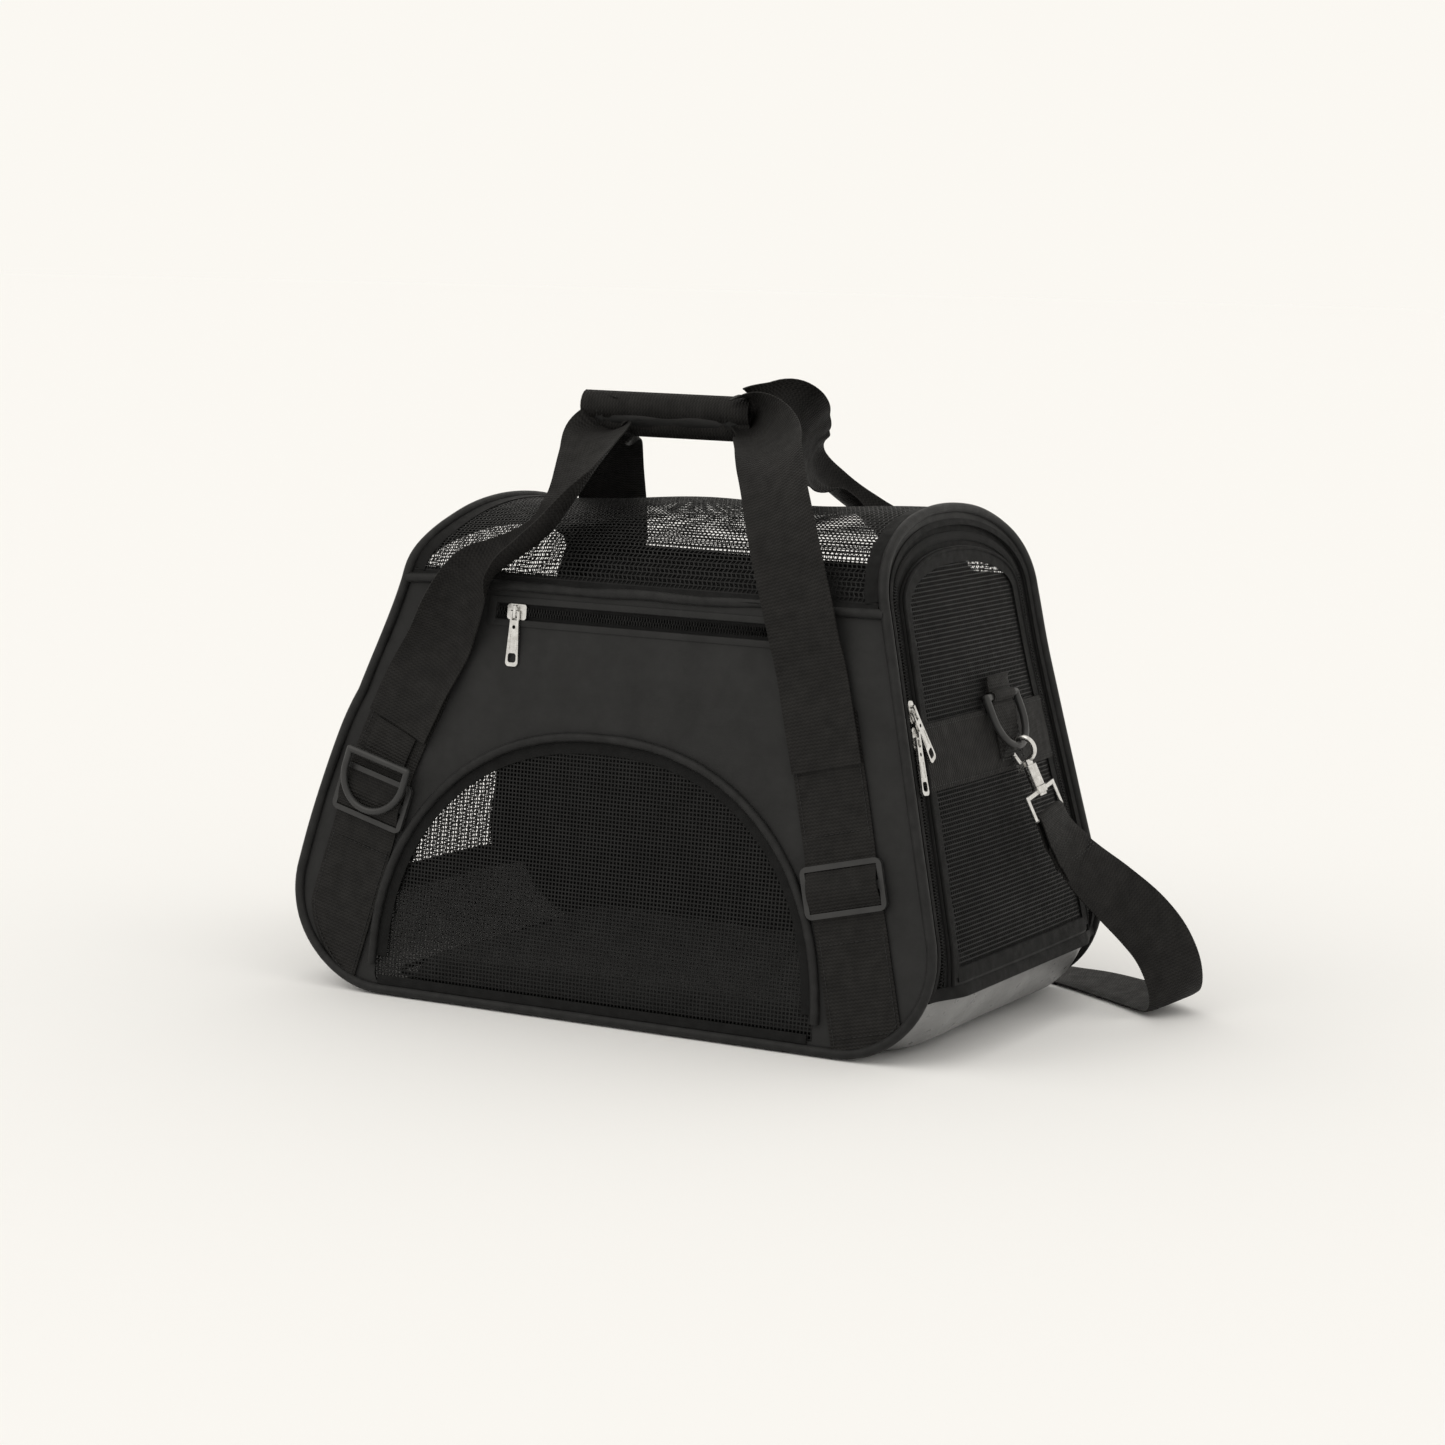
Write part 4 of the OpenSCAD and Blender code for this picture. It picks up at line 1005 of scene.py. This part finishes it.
def right_end():
    ring = np.vstack([arch_loop(2.0, DOOR_V), arch_loop(9.6, DOOR_V)[::-1]])
    cloth_piece("right_end_border", ring, [], flat_right, 1.3, "bag", CLOTH,
                ("right_border",), step=3.5)
    hole = with_sill(arch_loop(30.5, DOOR_V + 11), DOOR_V + 11)
    cloth_piece("door_cloth_border", arch_loop(22.4, DOOR_V + 1), [hole], right_cloth, 1.3, "door",
                CLOTH, ("door_border",), step=3.5)
    end_net("door_net", right_cloth, 24.5, 11, "door", "door_mesh")
    band("door_webbing_band", right_cloth, 23, "door", "door_band")


def left_end():
    """The left end is sewn in, with a binding where the door end has its zip."""
    hole = with_sill(arch_loop(17.0, DOOR_V + 10), DOOR_V + 10)
    cloth_piece("left_cloth_border", arch_loop(2.0, DOOR_V), [hole], left_cloth, 1.3, "bag",
                CLOTH, ("left_border",), step=3.5)
    end_net("left_net", left_cloth, 13.5, 10, "bag", "left_mesh")
    band("left_webbing_band", left_cloth, 3.4, "bag", "left_band")
    bind = Bits()
    ribbon_on(bind, arch_loop(15.5, DOOR_V + 1), left_cloth, 9, 0.5, 1.0)
    across(bind, -104, 104, DOOR_V + 8, left_cloth, 9, 0.5, 1.0)
    bind.make("left_mesh_binding", "bag", "black_piping", TAPE)


def door_binding():
    bind = Bits()
    ribbon_on(bind, arch_loop(28.5, DOOR_V + 8), right_cloth, 7, 0.4, 0.9)
    across(bind, -94, 94, DOOR_V + 9.5, right_cloth, 8, 0.4, 0.9)
    bead_on(bind, arch_loop(24.2, DOOR_V + 4), right_cloth, 0.6, 1.3, 0.1, 12, 8)
    bind.make("door_binding", "door", "black_piping", TAPE)


def zips():
    for body, sign, inset, width in (("bag", -1, ZIP_INSET - 6.6, 9.4), ("door", 1, ZIP_INSET + 6.4, 9.0)):
        p, n = beside(respace(arch_loop(ZIP_INSET, DOOR_V + 2), 1.8), flat_right, -ZIP_SINK)
        coil = Bits()
        teeth(coil, p, sign * unit(np.cross(headings(p), n)), n, 0 if body == "bag" else 1)
        coil.make(body + "_zip_coil", body, "zip_teeth", TEETH, (body + "_zip_teeth",), smooth=60)
        tape = Bits()
        ribbon_on(tape, arch_loop(inset, DOOR_V + 1), flat_right, width, -1.9, 0.8)
        if body == "bag":
            ribbon_on(tape, arch_loop(8.4, DOOR_V + 1), flat_right, 3.6, 0.5, 1.0)
        tape.make(body + "_zip_cloth_tape", body, "zip_tape", TAPE, (body + "_zip_tape",))
    coil, tape = Bits(), Bits()
    line = np.array([[ZIP_LEFT + 1, ZIP_V], [ZIP_RIGHT - 1, ZIP_V]])
    p, n = beside(respace(line, 1.8), front, -ZIP_SINK)
    side = unit(np.cross(headings(p), n))
    for start, sign in enumerate((1, -1)):
        teeth(coil, p, sign * side, n, start)
        ribbon_on(tape, line + [[0, -sign * 5.2]], front, 7, -1.9, 0.8)
    coil.make("pocket_zip_coil", "bag", "zip_teeth", TEETH, ("pocket_zip_teeth",), smooth=60)
    tape.make("pocket_zip_cloth_tape", "bag", "zip_tape", TAPE, ("pocket_zip_tape",))


def gusset():
    """The pale underside, turned up at both ends to meet the end walls."""
    r = 50.0
    turn = math.degrees(math.asin((DOOR_FOOT - 1 - r) / r))
    cx = END_FOOT - END_LEAN * DOOR_FOOT - r * math.cos(math.radians(turn)) - 0.6
    line = arc(cx, r, r, turn, -90, 26)
    line = respace(np.vstack([line, line[::-1] * [-1, 1]]), 4)
    s = length_along(line)
    out = unit(np.stack([-np.gradient(line[:, 1]), np.gradient(line[:, 0])], 1))
    t = np.linspace(-1, 1, 49)
    lift = np.clip((line[:, 1] - 0.5) / 14, 0, 1)[:, None]
    soft = lift * (0.9 * ripple(s[:, None], t[None] * 110, 61, 42) + 1.4 * np.cos(t[None] * 1.4))
    rings = []
    for side in (0, -1.6):
        x = line[:, None, 0] + out[:, None, 0] * (side - soft)
        z = np.maximum(line[:, None, 1] + out[:, None, 1] * (side - soft), 0.05 - side)
        y = t[None] * (BASE_HALF - 2.6 - SLOPE * z)
        spare = np.maximum(np.abs(x) - (corner_reach(z) + side), 0) * near_edge(y, z, 42)
        rings.append(vec(x - np.sign(x) * spare, y, z))
    ring = np.concatenate([rings[0], rings[1][:, ::-1]], 1)
    uv = np.stack(np.broadcast_arrays(s[:, None], np.concatenate([t, t[::-1]])[None] * 125), -1)
    make("gusset_cloth", ring.reshape(-1, 3), skin(ring), "bag", GUSSET,
         ("bottom_gusset",), uv.reshape(-1, 2))
    b = Bits()
    for sign in (-1, 1):
        half = BASE_HALF - SLOPE * DOOR_FOOT - 3
        p = right(np.linspace(-half, half, 80), np.full(80, DOOR_V + 0.4), 0.6) * [sign, 1, 1]
        v, f, uv = strap(p, np.tile([-0.24 * sign, 0, 0.97], (80, 1)) * 7, 7, 1.3, cells=4)
        b.add(v, f, uv)
    b.make("end_foot_binding", "bag", "black_piping", TAPE)


# ---------------------------------------------------------------- webbing and handles
def web_frame(foot, turn, sign=1):
    c, s = math.cos(math.radians(turn)), math.sin(math.radians(turn))
    drawn_in = 12.0 if foot < 0 else 0.0

    def place(x, y, w):
        x, y, w = (np.asarray(q, float) for q in (x, y, w))
        bend = drawn_in * step_up((y - 138) / 90)
        p = flat_front(foot + x * c + y * s + bend, -x * s + y * c, w)
        return p * [1, sign, 1]
    return place


def trim(p, inset):
    """Webbing is cut along the rounded lower corner of the panel, an inset within its bead."""
    reach = corner_reach(p[..., 2]) - inset
    p = p.copy()
    p[..., 0] = np.clip(p[..., 0], -reach, reach)
    return p


def sewn_webbing(name, node, foot, turn, glide, sign, ring):
    place = web_frame(foot, turn, sign)
    b, th = Bits(), Bits()

    def lay(line, width=WEB_W, thick=1.5):
        line = np.asarray(line, float)
        q = smooth_path(np.stack([0 * line[:, 0], line[:, 0], line[:, 1]], 1), len(line) * 8)
        p = place(q[:, 0], q[:, 1], q[:, 2])
        wide = place(q[:, 0] + 1, q[:, 1], q[:, 2]) - p
        v, f, uv = strap(p, wide * width, width, thick, wave=0.15, seed=int(abs(foot)))
        b.add(trim(v, 3.0), f, uv)

    g, low = glide, 9.5
    lay([[low, 0.9], [40, 0.9], [g - 36, 0.9], [g - 20, 1.2], [g - 14, 2.0], [g - 8, 4.2], [g - 3.5, 6.0],
         [g, 6.4], [g + 3.5, 6.0], [g + 8, 4.2], [g + 14, 2.2], [g + 22, 1.3], [g + 45, 1.0], [196, 1.0]])
    lay([[g - 22, 0.6], [g - 8, 0.8], [g, 1.0], [g + 8, 0.8], [g + 34, 0.5]], WEB_W - 2, 1.3)
    if ring:
        lay([[g + 19, 2.9], [g + 26, 3.1], [g + 37, 2.9], [g + 44, 2.4]], 30, 1.5)

    def sew(a, c, w):
        n = max(2, int(math.hypot(c[0] - a[0], c[1] - a[1]) / 4))
        x, y = np.linspace(a[0], c[0], n), np.linspace(a[1], c[1], n)
        p = place(x, y, np.full(n, w))
        stitches(th, trim(p, 5.2), unit(place(x, y, np.full(n, w + 1)) - p))

    side = WEB_W / 2 - 2.2
    for x in (-side, side):
        sew((x, 14), (x, g - 28), 1.75)
        sew((x, g + 28), (x, 172), 1.85)
    for y in (16, g - 30, g + 31, 173, 176):
        sew((-side, y), (side, y), 1.85)
    b.make(name, "bag", "black_webbing", WEB, (node,))
    th.make(name + "_stitching", "bag", "black_webbing", THREAD)


# the free webbing of each handle, from where it leaves the sewn webbing to the grip: points
# that it passes, and there the direction and straight width from edge to edge
FRONT_LEFT = ([[-124, -109.5, 209], [-115, -111, 227], [-107, -111, 241], [-98, -110, 253], [-87, -108, 262],
    [-73, -104, 272], [-62, -96, 283], [-57, -84, 296], [-57, -70, 306], [-60, -52, 319],
    [-65, -34, 330], [-70, -18, 337], [-69, -8, 341], [-62, -3, 345]],
    [[40, 4, -8], [39, 4, -5], [38, 0, -2], [36, -6, 2], [31, -17, 3],
    [25, -23, 4], [21, -26, 4], [26, -25, 5], [34, -22, 6], [40, -14, 6],
    [43, -2, 7], [41, 2, 0], [30, -5, -8], [14, 4, -16]])
FRONT_RIGHT = ([[121, -108.5, 214], [117, -110, 232], [113, -110, 248], [102, -105, 279], [89, -92, 304],
    [74, -72, 326], [57, -44, 339], [37, -20, 347], [20, -5, 351]],
    [[43, 0, 9], [43, 0, 6], [43, 0, 4], [43, -2, 4], [42, -7, 5],
    [41, -11, 5], [36, -18, 2], [24, -18, 4], [8, -9, 10]])
REAR_RIGHT = ([[121, 108.5, 214], [110, 111, 231], [91, 112, 250], [68, 110, 271], [49, 105, 287],
    [36, 95, 300], [30, 79, 312], [33, 61, 322], [38, 44, 333], [42, 28, 344], [41, 15, 352], [33, 7, 356], [18, 4, 353]],
    [[42, 0, 10], [38, 10, 12], [32, 20, 6], [20, 30, -2], [6, 34, -6],
    [-4, 33, -4], [-8, 34, -2], [-6, 39, 0], [1, 43, 4], [11, 41, 7], [13, 34, 8], [8, 22, 8], [2, 9, 12]])
REAR_LEFT = ([[-131, 108.5, 214], [-134, 109, 236], [-128, 99, 262], [-116, 77, 286], [-101, 48, 309],
    [-89, 26, 326], [-79, 10, 336], [-66, 3, 341]],
    [[42, 0, -11], [38, 14, -8], [29, 29, -4], [24, 35, -2], [23, 36, -2],
    [20, 35, -2], [14, 28, -5], [10, 8, -14]])


def leg(name, node, route, web, sign):
    """One handle webbing: it lies on its sewn webbing first, and then goes free to the grip."""
    place = web_frame(web[0], web[1], sign)
    y, w = np.array([166.0, 178.0, 190.0]), np.array([2.3, 2.5, 3.0])
    on_it = place(0 * y, y, w)
    wide = unit(place(0 * y + 1, y, w) - on_it) * WEB_W * 0.99
    path, across = (smooth_path(np.vstack([a, b]), 200) for a, b in ((on_it, route[0]), (wide, route[1])))
    v, f, uv = strap(path, across, WEB_W, 1.6, 1.0, 14, 2.2, 0.3, 71)
    ob = make(name, warp(v) if sign < 0 else v, f, "bag", WEB, (node,), uv)
    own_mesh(ob)


def padded_swell(name, rings, mat, voxel, cap, pressure=4.0, stiff=12):
    """Padding: the shape is remeshed, swollen a little by cloth simulation, and smoothed."""
    ob = make(name, np.concatenate(rings), skin(rings), None, mat)
    bpy.context.view_layer.objects.active = ob
    ob.select_set(True)
    re = ob.modifiers.new("remesh", "REMESH")
    re.mode, re.voxel_size = "VOXEL", voxel * MM
    bpy.ops.object.modifier_apply(modifier="remesh")
    rest = np.array([v.co for v in ob.data.vertices])
    cloth = ob.modifiers.new("cloth", "CLOTH")
    cloth.settings.use_pressure = True
    cloth.settings.uniform_pressure_force = pressure
    cloth.settings.tension_stiffness = stiff
    cloth.settings.effector_weights.gravity = 0
    scene = bpy.context.scene
    for k in range(1, 21):
        scene.frame_set(k)
    dg = bpy.context.evaluated_depsgraph_get()
    moved = np.array([v.co for v in ob.evaluated_get(dg).data.vertices])
    ob.modifiers.remove(cloth)
    scene.frame_set(1)
    d = moved - rest
    long = np.linalg.norm(d, axis=1, keepdims=True)
    rest = rest + d * np.minimum(1, cap * MM / np.maximum(long, 1e-9))
    ob.select_set(False)
    return ob, rest


def settle(ob, co, body, replaces):
    ob.data.vertices.foreach_set("co", co.astype(np.float32).ravel())
    if "cloth" not in ob.data.uv_layers:
        ob.data.uv_layers.new(name="cloth")
    loops = np.zeros(len(ob.data.loops), np.int32)
    ob.data.loops.foreach_get("vertex_index", loops)
    if np.ptp(co[:, 2]) < 0.02:
        flat = co[:, :2]
    else:
        turn = np.arctan2(co[:, 2] - co[:, 2].mean(), co[:, 1])
        flat = np.stack([co[:, 0], 0.012 * turn], 1)
    ob.data.uv_layers["cloth"].data.foreach_set("uv", flat[loops].astype(np.float32).ravel())
    ob.data.polygons.foreach_set("use_smooth", [True] * len(ob.data.polygons))
    sub = ob.modifiers.new("soft", "SUBSURF")
    sub.levels = sub.render_levels = 1
    ob.data.update()
    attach(ob, body)
    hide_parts(*replaces)


def pad():
    lo, hi = (np.array(q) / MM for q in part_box("fleece_pad"))
    half, c = (hi - lo) / 2, (hi + lo) / 2
    a = np.linspace(0, 2 * math.pi, 96, endpoint=False)
    r = 22
    rings = []
    for z, d in ((0, 5), (2, 2), (5.5, 0.6), (9, 2.5), (11, 6.5)):
        x = np.sign(np.cos(a)) * (half[0] - r - d) + (r - d * 0.2) * np.cos(a)
        y = np.sign(np.sin(a)) * (half[1] - r - d) + (r - d * 0.2) * np.sin(a)
        rings.append(vec(c[0] + x, c[1] + y, lo[2] + z + 0 * a))
    ob, co = padded_swell("fleece_pad_cushion", rings, FLEECE, 5.0, 7)
    mm = co / MM
    edge = np.minimum(half[0] - np.abs(mm[:, 0]), half[1] - np.abs(mm[:, 1]))
    seam = -1.6 * np.exp(-(((edge - 12) / 3.5) ** 2))
    up = step_up((mm[:, 2] - lo[2] - 4) / 4)
    co[:, 2] += up * (seam + 0.7 * ripple(mm[:, 0], mm[:, 1], 81, 70)) * MM
    co[:, 2] = np.clip(co[:, 2], lo[2] * MM, (lo[2] + 15.5) * MM)
    co[:, :2] = np.clip(co[:, :2], lo[:2] * MM - 0.0015, hi[:2] * MM + 0.0015)
    settle(ob, co, "bag", ("fleece_pad",))
    tape = Bits()
    p = np.concatenate([rings[2]] + [rings[2][:1]]) + [0, 0, 0.5]
    v, f, uv = tube(p, 1.6, [0, 0, 1], 8)
    tape.add(v, f, uv)
    tape.make("fleece_pad_piping", "bag", "fleece", PIPE)


def grip():
    lo, hi = (np.array(q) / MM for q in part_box("grip_wrap"))
    cz, n = (lo[2] + hi[2]) / 2, 44
    x = np.linspace(lo[0], hi[0], n)
    a = np.linspace(0, 2 * math.pi, 48, endpoint=False)
    t = (x - lo[0]) / (hi[0] - lo[0])
    end = np.minimum(t, 1 - t) * (hi[0] - lo[0])
    r = 10.1 - 1.4 * np.exp(-end / 2.5) - 0.9 * np.exp(-(((end - 10.5) / 1.7) ** 2))
    mid = cz + 0.4 - 0.9 * np.cos((t - 0.5) * 2.4)
    rings = [vec(x[k], 1.02 * r[k] * np.cos(a), mid[k] + r[k] * np.sin(a)) for k in range(n)]
    ob, co = padded_swell("grip_sleeve", rings, GRIP, 2.2, 2.2, 3.0, 20)
    mm = co / MM
    ang = np.arctan2(mm[:, 2] - cz, mm[:, 1])
    end = np.minimum(mm[:, 0] - lo[0], hi[0] - mm[:, 0])
    rad = np.hypot(mm[:, 1], mm[:, 2] - cz)
    crease = 0.5 * ripple(mm[:, 0] * 0.6, ang * 9, 91, 16) * step_up((end - 8) / 12)
    crease -= 0.9 * np.exp(-(((end - 10.5) / 1.4) ** 2))
    crease -= 0.8 * np.exp(-(((ang + 1.9) / 0.09) ** 2)) * step_up((rad - 6) / 3)
    out = np.stack([0 * ang, np.cos(ang), np.sin(ang)], 1)
    co = co + out * (crease * step_up((rad - 4) / 5))[:, None] * MM
    settle(ob, co, "handle", ("grip_wrap",))
    th = Bits()
    ring = np.linspace(0, 2 * math.pi, 60)
    for xx in (lo[0] + 4.5, hi[0] - 4.5, lo[0] + 8, hi[0] - 8):
        p = vec(xx, 10.9 * np.cos(ring), cz + 10.9 * np.sin(ring))
        stitches(th, p, unit(p - [xx, 0, cz]), lift=0.2)
    down = np.array([0, math.cos(-1.72), math.sin(-1.72)])
    p = vec(np.linspace(lo[0] + 5, hi[0] - 5, 40), 0, cz) + 11.4 * down
    stitches(th, p, down)
    th.make("grip_stitching", "handle", "padded_wrap", THREAD)
    core = Bits()
    lo, hi = (np.array(q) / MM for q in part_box("grip_core"))
    for k, (dy, dz, turn) in enumerate(((1.5, -2.5, 0.2), (-1.5, 2.5, -0.3))):
        p = vec(np.linspace(lo[0] - 6, hi[0] + 6, 40), dy, cz + dz)
        wide = np.tile([0, math.cos(turn), math.sin(turn)], (40, 1)) * 12
        v, f, uv = strap(p, wide, 48, 1.6, (-1) ** k, 16)
        core.add(v, f, uv)
    core.make("grip_webbing_core", "handle", "black_webbing", WEB, ("grip_core",))


def ring_tab(end, body, flip):
    """Webbing folded round the bar of a D-ring and sewn to the band below it."""
    u, v, h, r = RING_U, RING_V, RING_H, RING_R
    foot = [(v - 36, 1.9), (v - 28, 2.1), (v - 18, 2.6), (v - 8, 3.2)]
    lift = [float(end_swell(np.array([u]), np.array([q]))[0]) for q, _ in foot]
    rise = 0.8 * lift[-1]
    over = [(v + 12, 3.6 + rise), (v + 4, h - 1.0), (v + r * 0.8, h + r * 0.6), (v, h + r), (v - r, h + 0.4),
            (v - 2.0, h - r), (v + 6, 3.0 + lift[-1] * 0.6)]
    under = [(v + 12, 3.0 + rise), (v - 2, 3.0 + rise)] + [(q, w + s) for (q, w), s in zip(foot, lift)][::-1]
    b = Bits()
    for row, thick in ((over, 1.3), (under, 1.4)):
        q = smooth_path(np.array([[u, a, w] for a, w in row]), len(row) * 8)
        p = right(q[:, 0], q[:, 1], q[:, 2]) * flip
        vv, f, uv = strap(p, np.tile([0, 30.0, 0], (len(p), 1)), 30, thick, step=1.5)
        b.add(vv, f, uv)
    b.make(end + "_ring_webbing", body, "black_webbing", WEB, (end + "_ring_tab",))


def hardware():
    for node in ("door_ring", "left_ring", "front_ring"):
        body = {"door_ring": "door", "left_ring": "bag"}.get(node, node)
        polish(node, body, PLASTIC, 0)
    polish("tri_glides", "bag", PLASTIC, 0.6)
    for zipper in ("upper", "lower", "pocket"):
        for part, bevel in (("slider", 0.3), ("pull", 0.25)):
            node = f"{zipper}_{part}"
            polish(node, node, ZINC, bevel)
    polish("base_board", "bag", BOARD, 0.4)


long_side()
beads_round()
mesh_top()
right_end()
left_end()
door_binding()
zips()
gusset()
for end, (foot, turn, glide) in (("left", LEFT_WEB), ("right", RIGHT_WEB)):
    for side, sign in (("front", 1), ("rear", -1)):
        sewn_webbing(f"{side}_{end}_sewn_webbing", f"{side}_{end}_webbing", foot, turn, glide, sign,
                     ring=(side, end) == ("front", "left"))
for corner, route, web, sign in (("front_left", FRONT_LEFT, LEFT_WEB, 1), ("front_right", FRONT_RIGHT, RIGHT_WEB, 1),
                                 ("rear_left", REAR_LEFT, LEFT_WEB, -1), ("rear_right", REAR_RIGHT, RIGHT_WEB, -1)):
    leg(corner + "_handle_webbing", corner + "_leg", route, web, sign)
pad()
grip()
ring_tab("door", "door", [1, 1, 1])
ring_tab("left", "bag", [-1, 1, 1])
hardware()
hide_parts("front_ring_tab")


# ---------------------------------------------------------------- floor and light
def studio():
    me = bpy.data.meshes.new("floor")
    n = 48
    ring = [(30 * math.cos(2 * math.pi * k / n), 30 * math.sin(2 * math.pi * k / n), -0.0004) for k in range(n)]
    me.from_pydata(ring, [], [list(range(n))])
    floor = bpy.data.objects.new("floor", me)
    bpy.context.collection.objects.link(floor)
    m = bpy.data.materials.new("floor_paper")
    m.use_nodes = True
    p = m.node_tree.nodes["Principled BSDF"]
    p.inputs["Base Color"].default_value = (0.87, 0.87, 0.87, 1)
    p.inputs["Roughness"].default_value = 0.95
    p.inputs["Specular IOR Level"].default_value = 0.1
    me.materials.append(m)
    world = bpy.data.worlds.new("studio")
    world.use_nodes = True
    world.node_tree.nodes["Background"].inputs[0].default_value = (0.965, 0.94, 0.89, 1)
    world.node_tree.nodes["Background"].inputs[1].default_value = 1.0
    bpy.context.scene.world = world
    bpy.context.scene.view_settings.view_transform = "Standard"
    sun = bpy.data.lights.new("key", "SUN")
    sun.energy, sun.angle = 0.65, math.radians(50)
    sun.color = (0.965, 0.94, 0.89)
    lamp = bpy.data.objects.new("key", sun)
    lamp.rotation_euler = (math.radians(38), math.radians(-22), 0)
    bpy.context.collection.objects.link(lamp)


studio()
